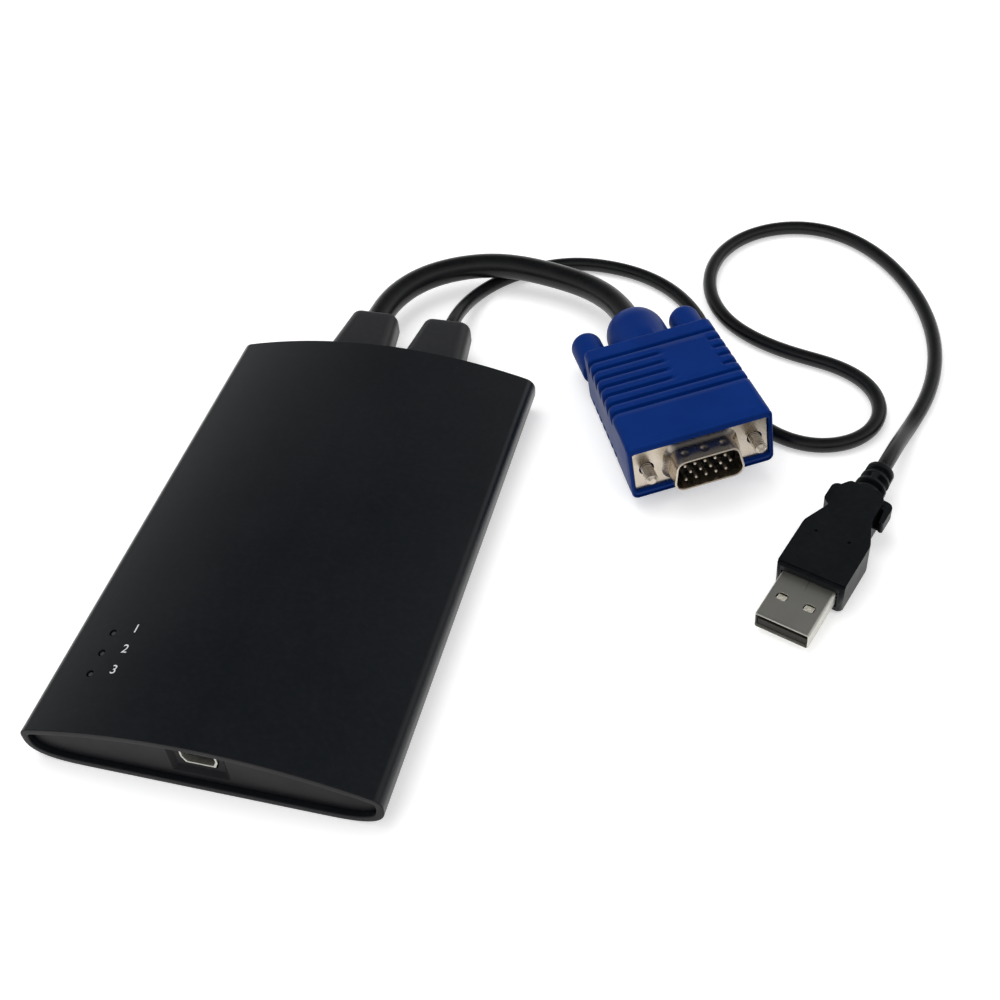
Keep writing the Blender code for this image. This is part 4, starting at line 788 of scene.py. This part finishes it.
def caseOutline():
    # belly, corner and crown of the right half, then the left half
    half, corner, flat = case["width"] / 2, case["corner"], case["flat"] / 2
    waist, bend = case["waist"], case["bellyBend"]
    tangent = math.atan2(crownRadius - shoulder, half - corner)
    right = [(flat + (half - flat) * sine ** bend, waist * (1 - cosine ** bend))
             for sine, cosine in arc(case["bellySteps"])]
    for k in range(1, case["cornerSteps"] + 1):
        t = tangent * k / case["cornerSteps"]
        right.append((half - corner + corner * math.cos(t), waist + corner * math.sin(t)))
    for k in range(1, case["crownSteps"]):
        t = tangent + (math.pi / 2 - tangent) * k / case["crownSteps"]
        right.append((crownRadius * math.cos(t), case["height"] - crownRadius + crownRadius * math.sin(t)))
    return right + [(0.0, case["height"])] + [(-x, z) for x, z in reversed(right)]


def crownHeight(x):
    return case["height"] - crownRadius + math.sqrt(crownRadius ** 2 - x ** 2)


def onCrown(x, y, lift=0.0):
    # a place on the crown, its z axis along the crown's normal
    tilt = Matrix.Rotation(math.asin(x / crownRadius), 4, "Y")
    return Matrix.Translation(at(x, y, crownHeight(x) + lift)) @ tilt


def shineCrown(mesh, upward=0.9, near=0.02):
    # the crown's true normals, so that the drilled holes leave no streak in its shine
    bend = (case["height"] - crownRadius) * mm
    normals = [corner.vector.copy() for corner in mesh.corner_normals]
    for face in mesh.polygons:
        if face.normal.z < upward:
            continue
        for corner in face.loop_indices:
            point = mesh.vertices[mesh.loops[corner].vertex_index].co
            if abs(point.z - crownHeight(point.x / mm) * mm) < near * mm:
                normals[corner] = Vector((point.x, 0.0, point.z - bend)).normalized()
    mesh.normals_split_custom_set(normals)


def makeSleeve():
    outline = caseOutline()
    half, rim, lip, wall = case["length"] / 2, case["rim"], case["lip"], case["wall"]
    # round the rim: how far in from the outline, and how far in from the end
    edge = [(rim * (1 - cosine), rim * (1 - sine)) for sine, cosine in arc(case["rimSteps"])]
    edge += [(wall - lip * (1 - sine), lip * (1 - cosine)) for sine, cosine in arc(case["rimSteps"])]
    loops = [inward(outline, inset) if inset else outline for inset, back in edge]
    rings = [ringAt(loop, -half + back) for loop, (inset, back) in zip(loops, edge)]
    rings += [ringAt(loop, half - back) for loop, (inset, back) in reversed(list(zip(loops, edge)))]
    sleeve = finishShape("caseSleeve", skin(rings, around=True), sleeveLacquer)
    radius, reach, foot, top = (case[key] for key in ("lightRadius", "drillReach", "sinkFoot", "sinkTop"))
    drill = [(0.0, -reach), (radius, -reach), (radius, foot), (radius + case["sinkSpread"], top), (0.0, top)]
    holes = []
    for k in range(case["lightCount"]):
        place = onCrown(case["lightX"], case["lightY"] - k * case["lightPitch"]) @ turnAbout("X", 90)
        holes.append(finishShape("drill", turned(drill, 32), sleeveLacquer, place))
    cutFrom(sleeve, holes)
    shineCrown(sleeve.data)
    sleeve.data.materials.append(plateMoulding)        # the sawn ends are matt
    for face in sleeve.data.polygons:
        if abs(face.normal.y) > case["endFacing"]:
            face.material_index = 1
    standsFor(sleeve, "adapter", "case_sleeve")


numerals = {"size": 3.0, "rise": 0.03, "left": 4.2, "back": 1.2, "lift": 0.02, "texts": ("1", "2", "3")}


def printNumerals():
    # plain numbers beside the lights, laid on the crown
    made = []
    for k, text in enumerate(numerals["texts"]):
        curve = bpy.data.curves.new("numeral", "FONT")
        curve.body = text
        curve.size, curve.extrude = numerals["size"] * mm, numerals["rise"] / 2 * mm
        curve.align_x, curve.align_y = "LEFT", "CENTER"
        place = onCrown(case["lightX"] + numerals["left"],
                        case["lightY"] - k * case["lightPitch"] + numerals["back"], numerals["lift"])
        made.append(finishShape("numeral", curveShape("numeral", curve, 1e-7), printWhite, place))
    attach(joined("lightNumerals", made), "adapter")


makeSleeve()
printNumerals()


# boots of the cords

boot = {
    "width": 16.0, "height": 8.6, "endWidth": 12.4, "endHeight": 8.0, "round": 2.8, "endRound": 1.5,
    "plateBack": 55.5, "plateFace": 57.3, "rim": 58.5, "neckInset": 1.2, "lip": 0.6, "lipDepth": 1.5,
    "gap": 0.3, "chamfer": 0.25, "taperSteps": 10, "endSteps": 6, "cornerSteps": 10,
}


def makeBoot(name, x, node):
    lipRear, seat = boot["plateBack"] - boot["gap"], boot["plateFace"] + boot["gap"]
    neck, chamfer, rim, steps = -boot["neckInset"], boot["chamfer"], boot["rim"], boot["taperSteps"]
    wide, narrow = (boot["width"], boot["height"]), (boot["endWidth"], boot["endHeight"])
    sections = [(lipRear - boot["lipDepth"], wide, neck + boot["lip"]), (lipRear, wide, neck + boot["lip"]),
                (lipRear, wide, neck), (seat, wide, neck), (seat, wide, -chamfer),
                (seat + chamfer, wide, 0.0), (rim, wide, 0.0)]
    straightEnd = bootRear - boot["endRound"]
    for k in range(1, steps + 1):
        t = k / steps
        size = tuple(a + (b - a) * t for a, b in zip(wide, narrow))
        sections.append((rim + (straightEnd - rim) * t, size, 0.0))
    for sine, cosine in arc(boot["endSteps"], 1):
        sections.append((straightEnd + boot["endRound"] * sine, narrow, -boot["endRound"] * (1 - cosine)))
    rings = []
    for y, (width, height), grow in sections:
        corner = boot["round"] + min(grow, 0.0)
        loop = roundedBox(width / 2 + grow, height / 2 + grow, corner, boot["cornerSteps"], (x, bootHeight))
        rings.append(ringAt(loop, y))
    standsFor(finishShape(name, skin(rings), bootVinyl), "adapter", node)


makeBoot("videoBoot", videoCord["bootX"], "video_boot")
makeBoot("busBoot", busCord["bootX"], "bus_boot")


# hood of the video plug

print("video plug")
hood = {
    "front": -1.0, "rear": 36.5, "frontWidth": 33.2, "rearWidth": 31.2, "height": 14.8, "corner": 1.6,
    "frontRound": 0.5, "rearRound": 0.5, "leastRound": 0.3,
    "windowWidth": 31.4, "windowHeight": 11.2, "windowRound": 0.8, "windowEdge": 0.15, "floor": 0.9,
    "frontRows": (1.0, 0.5, 1.2), "rearRows": (0.6, 0.3, 0.8),      # gap before, gap after, step
    "grooves": 7, "grooveY": 12.3, "groovePitch": 3.25, "grooveWidth": 1.5, "grooveDepth": 1.0,
    "grooveRows": 15, "grooveEasing": (0.5, 0.95), "sideDrop": 2.7, "sideFade": 0.4,
    "patchLeft": 2.0, "patchRight": 12.0, "leftFade": 2.6, "rightFade": 1.2, "patchEdge": 1.0,
    "fullRows": (0, 1, 6),
    "bossWidth": 15.2, "bossHeight": 14.2, "bossRear": 52.0, "bossTaper": 0.25, "bossRows": 5,
    "bossFillet": 0.7, "filletGap": 0.02, "bossDome": 6.4, "mouth": 3.5, "mouthDepth": 0.6, "mouthLip": 0.1,
    "topPoints": 88, "sidePoints": 36, "cornerPoints": 7,
}


def hoodSection(halfWidth, halfHeight, radius):
    # the hood's section with an even spread of points: (x, z, normal x, normal z)
    points = []
    flatX, flatZ = halfWidth - radius, halfHeight - radius
    sides = ((hood["topPoints"], (flatX, halfHeight), (-flatX, halfHeight), 90),
             (hood["sidePoints"], (-halfWidth, flatZ), (-halfWidth, -flatZ), 180),
             (hood["topPoints"], (-flatX, -halfHeight), (flatX, -halfHeight), 270),
             (hood["sidePoints"], (halfWidth, -flatZ), (halfWidth, flatZ), 360))
    for count, start, end, angle in sides:
        facing = math.radians(angle)
        for k in range(count):
            t = k / count
            points.append((start[0] + (end[0] - start[0]) * t, start[1] + (end[1] - start[1]) * t,
                           math.cos(facing), math.sin(facing)))
        centre = (end[0] - radius * math.cos(facing), end[1] - radius * math.sin(facing))
        for k in range(hood["cornerPoints"]):
            turn = facing + math.radians(90 * k / hood["cornerPoints"])
            points.append((centre[0] + radius * math.cos(turn), centre[1] + radius * math.sin(turn),
                           math.cos(turn), math.sin(turn)))
    return points


def hoodHalfWidth(y):
    along = (y - hood["front"]) / (hood["rear"] - hood["front"])
    return (hood["frontWidth"] + (hood["rearWidth"] - hood["frontWidth"]) * along) / 2


def grooveDepthAt(x, y, z):
    # how deep the ribbing is pressed in at a point of the hood's skin
    deepest = 0.0
    top, fade = hood["height"] / 2, hood["sideFade"]
    side = top - hood["sideDrop"]
    left, right = hood["patchLeft"], hood["patchRight"]
    for k in range(hood["grooves"]):
        off = abs(y - hood["grooveY"] - k * hood["groovePitch"]) / (hood["grooveWidth"] / 2)
        if off > 1:
            continue
        deep = 1 - easeIn(off, *hood["grooveEasing"])
        if k not in hood["fullRows"] and abs(z) > top - hood["patchEdge"]:
            past = easeIn(x, left - hood["leftFade"], left)
            deep *= 1 - past * (1 - easeIn(x, right, right + hood["rightFade"]))
        deep *= easeIn(abs(z), side - fade, side + fade)
        deepest = max(deepest, deep)
    return deepest * hood["grooveDepth"]


def makeHood():
    top, front, rear = hood["height"] / 2, hood["front"], hood["rear"]
    rim, rearRound = hood["frontRound"], hood["rearRound"]
    rings = []

    def addRing(y, grow, ribbed=False):
        corner = max(hood["leastRound"], hood["corner"] + min(grow, 0.0))
        ring = []
        for x, z, nx, nz in hoodSection(hoodHalfWidth(y) + grow, top + grow, corner):
            deep = grooveDepthAt(x, y, z) if ribbed else 0.0
            ring.append(at(x - nx * deep, y, z - nz * deep))
        rings.append(ring)

    # pocket behind the flange, then the front rim
    edge = hood["windowEdge"]
    for y, grow in ((hood["floor"], 0.0), (front + edge, 0.0), (front, edge)):
        section = hoodSection(hood["windowWidth"] / 2 + grow, hood["windowHeight"] / 2 + grow,
                              hood["windowRound"])
        rings.append(ringAt([(x, z) for x, z, nx, nz in section], y))
    for sine, cosine in reversed(arc(5)):
        addRing(front + rim * (1 - cosine), -rim * (1 - sine))

    # plain rows, ribbed ones and plain ones again, then the rear edge
    before, after, step = hood["frontRows"]
    for y in stepped(front + rim + before, hood["grooveY"] - hood["grooveWidth"] / 2 - after, step):
        addRing(y, 0.0)
    for k in range(hood["grooves"]):
        middle = hood["grooveY"] + k * hood["groovePitch"]
        for j in range(hood["grooveRows"]):
            addRing(middle + hood["grooveWidth"] * (j / (hood["grooveRows"] - 1) - 0.5), 0.0, ribbed=True)
    before, after, step = hood["rearRows"]
    for y in stepped(middle + hood["grooveWidth"] / 2 + before, rear - rearRound - after, step):
        addRing(y, 0.0)
    for sine, cosine in arc(6):
        addRing(rear - rearRound * (1 - sine), -rearRound * (1 - cosine))

    # boss: a fillet out of the rear face, an oval barrel and a domed end
    count = len(rings[0])
    limit = top - rearRound
    shift = hood["topPoints"] / 2

    def addOval(y, grow, clampTop=False):
        ring = []
        for k in range(count):
            angle = math.radians(90) + 2 * math.pi * (k - shift) / count
            x = (hood["bossWidth"] / 2 + grow) * math.cos(angle)
            z = (hood["bossHeight"] / 2 + grow) * math.sin(angle)
            ring.append(at(x, y, max(-limit, min(limit, z)) if clampTop else z))
        rings.append(ring)

    fillet, taper, rows = hood["bossFillet"], hood["bossTaper"], hood["bossRows"]
    for sine, cosine in arc(5):
        addOval(rear + fillet * (1 - cosine) + hood["filletGap"], fillet * (1 - sine), True)
    domeStart = hood["bossRear"] - hood["bossDome"]
    for k in range(1, rows + 1):
        addOval(rear + fillet + (domeStart - rear - fillet) * k / rows, -taper * k / rows)
    reach = (hood["bossHeight"] + hood["bossWidth"]) / 4 - taper - hood["mouth"]
    for sine, cosine in arc(14, 1):
        addOval(domeStart + hood["bossDome"] * sine, -taper - reach * (1 - cosine))
    addOval(hood["bossRear"] - hood["mouthDepth"], -taper - reach - hood["mouthLip"])
    piece = finishShape("videoHood", skin(rings), hoodVinyl, videoPlace, 50.0)
    return standsFor(piece, "adapter", "video_plug_hood")


videoHood = makeHood()


# metal shell, insulator and pins of the video plug

shell = {
    "flangeWidth": 30.8, "flangeHeight": 12.5, "flangeRound": 1.0, "flangeThickness": 0.8, "flangeEdge": 0.18,
    "holeSpacing": 25.0, "holeRadius": 1.75, "holePoints": 40, "hollowGap": 0.05, "hollowPoints": 120,
    "wide": 16.92, "height": 8.36, "lean": 10.0, "round": 2.4, "depth": 5.9, "wall": 0.5, "points": 240,
    "foot": 1.1, "footBack": 0.05, "innerBack": 0.6, "rows": 26,
    "dimpleRadius": 1.1, "dimpleDepth": 0.38, "dimplePitch": 4.4, "dimpleY": -3.245, "dimpleEdge": 0.05,
    "dimpleBend": 1.5,
}


def dimplePress(x, y):
    press = 0.0
    for k in (-1, 0, 1):
        away = math.hypot(x - k * shell["dimplePitch"], y - shell["dimpleY"]) / shell["dimpleRadius"]
        if away < 1:
            press = shell["dimpleDepth"] * (1 - away ** 2) ** shell["dimpleBend"]
    return press


def makeVideoShell():
    half, top, radius = shell["wide"] / 2, shell["height"] / 2, shell["round"]
    leaning = half - math.tan(math.radians(shell["lean"])) * shell["height"]
    corners = [(half, -top, radius), (leaning, top, radius), (-leaning, top, radius), (-half, -top, radius)]
    outline = evenLoop(roundedCorners(corners, 16), shell["points"])

    plate = roundedBox(shell["flangeWidth"] / 2, shell["flangeHeight"] / 2, shell["flangeRound"])
    hollow = evenLoop(inward(outline, shell["wall"] + shell["hollowGap"]), shell["hollowPoints"])
    holes = [circle(shell["holeRadius"], shell["holePoints"], sign * shell["holeSpacing"] / 2)
             for sign in (-1, 1)]
    flange = slab("flange", [plate, hollow] + holes, 0.0, shell["flangeThickness"], nickelPlate, videoPlace)
    roundEdges(flange, shell["flangeEdge"], 2)

    # drawn shell: flared foot, straight wall, rolled lip, and back inside; (y, how far in)
    wall, foot, rows = shell["wall"], shell["foot"], shell["rows"]
    lipStart = -(shell["depth"] - wall / 2)
    profile = [(shell["footBack"], -foot)]
    profile += [(-foot * (1 - sine), -foot * (1 - cosine)) for sine, cosine in arc(8, 1)]
    profile += [(-foot + (lipStart + foot) * k / rows, 0.0) for k in range(1, rows + 1)]
    profile += [(lipStart - wall / 2 * sine, wall / 2 * (1 - cosine)) for sine, cosine in arc(8, 1, 180)]
    profile.append((shell["innerBack"], wall))
    rings = []
    for y, shrink in profile:
        ring = []
        for x, z in inward(outline, shrink):
            outside = shrink < wall / 2 and abs(z) > top - shell["dimpleEdge"]
            press = dimplePress(x, y) if outside else 0.0
            ring.append(at(x, y, z - math.copysign(press, z)))
        rings.append(ring)
    drawn = finishShape("drawnShell", skin(rings, around=True), nickelPlate, videoPlace, 60.0)
    return standsFor(evenShine(joined("videoShell", [flange, drawn])), "adapter", "video_plug_shell")


videoShell = makeVideoShell()


def endTree(tree, geometry, given, result):
    # instances made real, in the finish given
    real = addNode(tree, "GeometryNodeRealizeInstances", {"Geometry": geometry})
    coat = addNode(tree, "GeometryNodeSetMaterial",
                   {"Geometry": real.outputs["Geometry"], "Material": given["Finish"]})
    feed(tree, result, {"Geometry": coat.outputs["Geometry"]})
    return tree


def growTree(piece, tree, values):
    # a node tree on a piece, its inputs set by their identifiers, made a plain mesh
    modifier = piece.modifiers.new(tree.name, "NODES")
    modifier.node_group = tree
    for item in tree.interface.items_tree:
        if item.in_out == "INPUT" and item.name in values:
            modifier[item.identifier] = values[item.name]
    freeze(piece)


pins = {
    "radius": 0.38, "tip": 5.1, "tail": 8.7, "pitch": 2.29, "rowPitch": 1.98, "columns": 5, "rows": 3,
    "point": ((0.45, 0.04), (0.8, 0.16), (1.0, 0.42)),      # share of the radius, distance from the tip
    "tailCone": 0.1,
}


def pinTree():
    # Geometry Nodes: one pin set out in three rows, the middle row half a pitch across
    tree, given, result = startGroup(
        "pinRows", {"Geometry": None, "Pitch": 0.00229, "Row Pitch": 0.00198, "Column Count": 5,
                    "Row Count": 3, "Finish": None}, ("Geometry",), "GeometryNodeTree")
    columns = given["Column Count"]
    total = addMath(tree, "MULTIPLY", columns, given["Row Count"])
    line = addNode(tree, "GeometryNodeMeshLine", {"Count": total})
    number = addNode(tree, "GeometryNodeInputIndex").outputs[0]
    column = addMath(tree, "MODULO", number, columns)
    row = addMath(tree, "FLOOR", addMath(tree, "DIVIDE", number, columns), 0.0)
    # half a pitch between the rows, shared out to both sides
    middleRow = addMath(tree, "MULTIPLY", addMath(tree, "COMPARE", row, 1.0), 2.0)
    shift = addMath(tree, "MULTIPLY", addMath(tree, "SUBTRACT", middleRow, 1.0), 0.25)
    halfRow = addMath(tree, "DIVIDE", addMath(tree, "SUBTRACT", columns, 1.0), 2.0)
    centred = addMath(tree, "SUBTRACT", column, halfRow)
    x = addMath(tree, "MULTIPLY", addMath(tree, "ADD", centred, shift), given["Pitch"])
    z = addMath(tree, "MULTIPLY", addMath(tree, "SUBTRACT", row, 1.0), given["Row Pitch"])
    spot = addNode(tree, "ShaderNodeCombineXYZ", {"X": x, "Z": z})
    settle = addNode(tree, "GeometryNodeSetPosition",
                     {"Geometry": line.outputs["Mesh"], "Position": spot.outputs[0]})
    copies = addNode(tree, "GeometryNodeInstanceOnPoints",
                     {"Points": settle.outputs["Geometry"], "Instance": given["Geometry"]})
    return endTree(tree, copies.outputs["Instances"], given, result)


def makePins():
    radius, tip, tail = pins["radius"], pins["tip"], pins["tail"]
    profile = [(0.0, -tip)] + [(share * radius, back - tip) for share, back in pins["point"]]
    profile += [(radius, tail - pins["tailCone"]), (0.0, tail)]
    piece = finishShape("videoPins", turned(profile, 20), pinTin, sharp=40.0)
    growTree(piece, pinTree(), {"Pitch": pins["pitch"] * mm, "Row Pitch": pins["rowPitch"] * mm,
                                "Column Count": pins["columns"], "Row Count": pins["rows"],
                                "Finish": pinTin})
    piece.data.transform(videoPlace)
    names = [f"video_pin_{number:02d}" for number in range(1, pins["columns"] * pins["rows"] + 1)]
    return standsFor(piece, "adapter", *names)


videoPins = makePins()


# thumbscrews

thumb = {
    "spacing": 25.0, "front": 36.8, "rear": 49.9, "radius": 3.8, "footRound": 0.45,
    "dome": 3.0, "domeBend": 0.86, "domeSteps": 12,
    "shaft": 1.22, "tip": 4.6, "point": ((0.7, 0.0), (0.95, 0.25), (1.22, 0.5)),   # radius, from the tip
    "overlap": 0.2, "crest": 1.4, "threadPitch": 0.6, "threadLength": 5.4, "threadStart": 0.45,
}


def threadTree():
    # Geometry Nodes: a ridge swept along a helix
    tree, given, result = startGroup(
        "screwThread", {"Radius": 0.0013, "Pitch": 0.0006, "Length": 0.0054, "Ridge": 0.00022,
                        "Finish": None}, ("Geometry",), "GeometryNodeTree")
    turns = addMath(tree, "DIVIDE", given["Length"], given["Pitch"])
    spiral = addNode(tree, "GeometryNodeCurveSpiral",
                     {"Resolution": 28, "Rotations": turns, "Start Radius": given["Radius"],
                      "End Radius": given["Radius"], "Height": given["Length"]})
    ridge = addNode(tree, "GeometryNodeCurvePrimitiveCircle", {"Resolution": 4, "Radius": given["Ridge"]})
    sweep = addNode(tree, "GeometryNodeCurveToMesh",
                    {"Fill Caps": True, "Curve": spiral.outputs["Curve"],
                     "Profile Curve": ridge.outputs["Curve"]})
    return endTree(tree, sweep.outputs["Mesh"], given, result)


threadNodes = threadTree()


def makeThumbscrew(side, sign):
    place = videoPlace @ Matrix.Translation((sign * thumb["spacing"] / 2 * mm, 0.0, 0.0))
    radius, front, rear, foot = thumb["radius"], thumb["front"], thumb["rear"], thumb["footRound"]
    profile = [(0.0, front), (radius - foot, front)]
    profile += [(radius - foot * (1 - sine), front + foot * (1 - cosine)) for sine, cosine in arc(4, 1)]
    domeStart = rear - thumb["dome"]
    profile += [(radius * cosine ** thumb["domeBend"], domeStart + thumb["dome"] * sine)
                for sine, cosine in arc(thumb["domeSteps"])[:-1]]
    knob = finishShape("knob", turned(profile + [(0.0, rear)], 56), hoodVinyl, place, 50.0)
    tip, root = thumb["tip"], front + thumb["overlap"]
    shaftProfile = [(0.0, -tip)] + [(wide, back - tip) for wide, back in thumb["point"]]
    shaftProfile += [(thumb["shaft"], root), (0.0, root)]
    shaft = finishShape("shaft", turned(shaftProfile, 32), nickelPlate, place, 40.0)
    thread = linked("thread", bpy.data.meshes.new("thread"))
    growTree(thread, threadNodes, {"Radius": thumb["shaft"] * mm, "Pitch": thumb["threadPitch"] * mm,
                                   "Length": thumb["threadLength"] * mm,
                                   "Ridge": (thumb["crest"] - thumb["shaft"]) * mm, "Finish": nickelPlate})
    thread.data.transform(
        place @ (Matrix.Translation(at(0.0, thumb["threadStart"] - tip, 0.0)) @ turnAbout("X", -90)))
    thread.data.shade_smooth()
    piece = joined(f"{side}Thumbscrew", [knob, shaft, thread])
    return standsFor(piece, f"{side}_thumbscrew", f"{side}_thumbscrew")


thumbscrews = [makeThumbscrew(side, sign) for side, sign in (("left", -1), ("right", 1))]


# bus plug

print("bus plug")
busShell = {
    "width": 12.0, "height": 4.5, "wall": 0.3, "round": 0.6, "length": 12.5, "buried": 6.0,
    "windowWidth": 2.5, "windowLength": 2.0, "windowX": 3.0, "windowY": 6.4, "windowRound": 0.75,
    "lip": 0.26, "lipLength": 0.6, "innerFront": 0.3, "windowReach": 4.0,
    "seamX": 0.2, "seamWidth": 0.12, "seamDepth": 0.10, "seamStart": 4.4, "seamOver": 0.5,
}
tab = {
    "drops": {-1: 0.2, 1: 0.45},      # under the shell, where the tongue is near, and on top
    "sink": 0.12, "bend": 1.3, "bow": 0.06, "sideGap": 0.5, "endGap": 0.2, "thickness": 0.15,
    "rows": 8, "columns": 6,
}


def makeTab(side, x):
    # a tab in a window, sinking to the rear; its pale nylon finish is a painted highlight where the metal tab
    # shines
    y, surface = busShell["windowY"], busShell["height"] / 2
    width, length = busShell["windowWidth"] - tab["sideGap"], busShell["windowLength"] - tab["endGap"]
    rows, columns = tab["rows"], tab["columns"]
    shape = bmesh.new()
    grid = []
    for k in range(rows + 1):
        t = k / rows
        drop = tab["sink"] + tab["drops"][side] * t ** tab["bend"]
        grid.append([])
        for j in range(columns + 1):
            bow = tab["bow"] * (1 - (2 * j / columns - 1) ** 2)
            spot = at(x + width * (j / columns - 0.5), y + length * (t - 0.5), side * (surface - drop - bow))
            grid[-1].append(shape.verts.new(spot))
    for lower, upper in zip(grid, grid[1:]):
        stitch(shape, lower, upper, closed=False)
    bmesh.ops.solidify(shape, geom=shape.faces, thickness=tab["thickness"] * mm)
    bmesh.ops.recalc_face_normals(shape, faces=shape.faces)
    sortFaces(shape)
    # pale finish: a painted highlight in place of the metal tab's shine
    return finishShape("tab", shape, headerNylonAndPaintedTabHighlight, busPlace, 40.0)


def makeBusShell():
    outer = roundedBox(busShell["width"] / 2, busShell["height"] / 2, busShell["round"])
    inner = inward(outer, busShell["wall"])
    surface, rear = busShell["height"] / 2, busShell["length"] + busShell["buried"]
    rings = [ringAt(inner, rear), ringAt(inner, busShell["innerFront"])]
    lip, bend = busShell["lip"], busShell["lipLength"]
    for sine, cosine in arc(8):
        rings.append(ringAt(inward(outer, lip * (1 - sine)), bend * (1 - cosine)))
    rings.append(ringAt(outer, rear))
    tube = finishShape("busShell", skin(rings, around=True), tinSheet)
    cutters = []
    for sign in (-1, 1):
        loop = roundedBox(busShell["windowWidth"] / 2, busShell["windowLength"] / 2, busShell["windowRound"],
                          6, (sign * busShell["windowX"], busShell["windowY"]))
        cutters.append(slab("window", [loop], -busShell["windowReach"], busShell["windowReach"], tinSheet,
                            flat=True))
    seamX, half = busShell["seamX"], busShell["seamWidth"] / 2
    seam = rectangle(seamX - half, busShell["seamStart"], seamX + half, rear + cutOver)
    cutters.append(slab("seam", [seam], surface - busShell["seamDepth"], surface + busShell["seamOver"],
                        tinSheet, flat=True))
    cutFrom(tube, cutters)
    tube.data.transform(busPlace)
    tabs = [makeTab(side, sign * busShell["windowX"]) for side in (-1, 1) for sign in (-1, 1)]
    return standsFor(evenShine(joined("busPlugShell", [tube] + tabs)), "adapter", "bus_plug_shell")


busPlugShell = makeBusShell()

grip = {
    "half": [(7.5, 12.5, 1.05), (7.5, 25.8, 4.0), (4.9, 32.0, 1.6), (4.9, 38.6, 1.1), (3.5, 40.5, 1.1)],
    "height": 8.0, "round": 1.0, "ledge": 1.1, "ledgeDepth": 0.4, "ledgeReach": 9.0,
    "pocketWidth": 12.6, "pocketHeight": 4.8, "pocketSpare": 0.6,
    "dots": ((-4.0, 24.2), (3.3, 24.5)), "dotRadius": 0.42, "dotDepth": 0.5,
}
wings = {
    "bottom": -0.4, "top": 2.7, "round": 0.45, "floor": 0.3, "floorRound": 0.1,
    "left": [(-3.6, 39.8, 0.3), (-6.9, 39.6, 1.5), (-6.9, 34.4, 1.3), (-5.2, 33.1, 0.6), (-3.6, 33.1, 0.3)],
    "right": [(4.0, 37.2, 0.2), (5.7, 37.2, 0.5), (6.05, 33.6, 0.25), (7.05, 33.3, 0.45), (7.05, 39.4, 1.7),
              (4.0, 39.8, 0.3)],
    "web": [(4.0, 33.9, 0.2), (6.6, 33.7, 0.4), (6.6, 38.0, 0.4), (4.0, 38.0, 0.2)],
}
relief = {
    "front": 39.4, "rear": 49.6, "startRadius": 3.6, "endRadius": 3.1, "taperFrom": 41.0,
    "grooveY": (42.6, 45.0, 47.4), "grooveWidth": 1.4, "grooveDepth": 1.2, "grooveEasing": (0.7, 1.3),
    "bridge": 18.0, "rows": 74, "around": 72, "endRound": 0.5,
}


def makeGrip():
    plan = roundedCorners(grip["half"] + [(-x, y, radius) for x, y, radius in reversed(grip["half"])], 8)
    half, front = grip["height"] / 2, busShell["length"]
    body = slab("busGrip", [plan], -half, half, gripVinyl, flat=True)
    roundEdges(body, grip["round"], 5)

    # each cutter's outline, bottom and top: steps down to the metal, dots, and the shell's pocket
    wide, edge, level = grip["ledgeReach"], front + grip["ledge"], half - grip["ledgeDepth"]
    ledge = rectangle(-wide, front - cutOver, wide, edge)
    cuts = [(ledge, -half - cutOver, -level), (ledge, level, half + cutOver)]
    for spot in grip["dots"]:
        dot = roundedBox(grip["dotRadius"], grip["dotRadius"], grip["dotRadius"] * 0.99, 4, spot)
        cuts.append((dot, half - grip["dotDepth"], half + cutOver))
    across, rear = grip["pocketWidth"] / 2, front + busShell["buried"] + grip["pocketSpare"]
    pocket = rectangle(-across, front - cutOver, across, rear)
    cuts.append((pocket, -grip["pocketHeight"] / 2, grip["pocketHeight"] / 2))
    cutFrom(body, [slab("cutter", [loop], bottom, top, gripVinyl, flat=True) for loop, bottom, top in cuts])
    body.data.transform(busPlace)
    return body


def makeWings():
    # thin wings beside the neck; the right one is hollow, a strip around a pocket with a thin floor
    pieces = []
    bottom, top, rounding = wings["bottom"], wings["top"], wings["round"]
    for side, level, width in (("left", top, rounding), ("right", top, rounding),
                               ("web", bottom + wings["floor"], wings["floorRound"])):
        wing = slab("gripWing", [roundedCorners(wings[side], 8)], bottom, level, gripVinyl, flat=True)
        roundEdges(wing, width, 4)
        wing.data.transform(busPlace)
        pieces.append(wing)
    return pieces


def reliefRadius(y, angle):
    # the relief tapers, and each groove leaves two bridges that stand across those of the next
    taper = easeIn(y, relief["taperFrom"], relief["rear"])
    base = relief["startRadius"] + (relief["endRadius"] - relief["startRadius"]) * taper
    tip = max(0.0, (y - relief["rear"]) / relief["endRound"] + 1)
    deep = 0.0
    for number, middle in enumerate(relief["grooveY"]):
        off = abs(y - middle) / (relief["grooveWidth"] / 2)
        apart = abs((math.degrees(angle) - 90 * (number % 2) + 90) % 180 - 90)
        cut = easeIn(apart, relief["bridge"] / 2, relief["bridge"])
        deep = max(deep, relief["grooveDepth"] * cut * (1 - easeIn(off, *relief["grooveEasing"])))
    return base - deep - relief["endRound"] * tip ** 2


def makeRelief():
    rings = []
    for j in range(relief["rows"] + 1):
        y = relief["front"] + (relief["rear"] - relief["front"]) * j / relief["rows"]
        ring = []
        for k in range(relief["around"]):
            angle = 2 * math.pi * k / relief["around"]
            r = reliefRadius(y, angle)
            ring.append(at(r * math.cos(angle), y, r * math.sin(angle)))
        rings.append(ring)
    return finishShape("relief", skin(rings), gripVinyl, busPlace, 60.0)


busGrip = evenShine(joined("busGrip", [makeGrip(), makeRelief()] + makeWings()))
standsFor(busGrip, "adapter", "bus_plug_grip")


print("done")
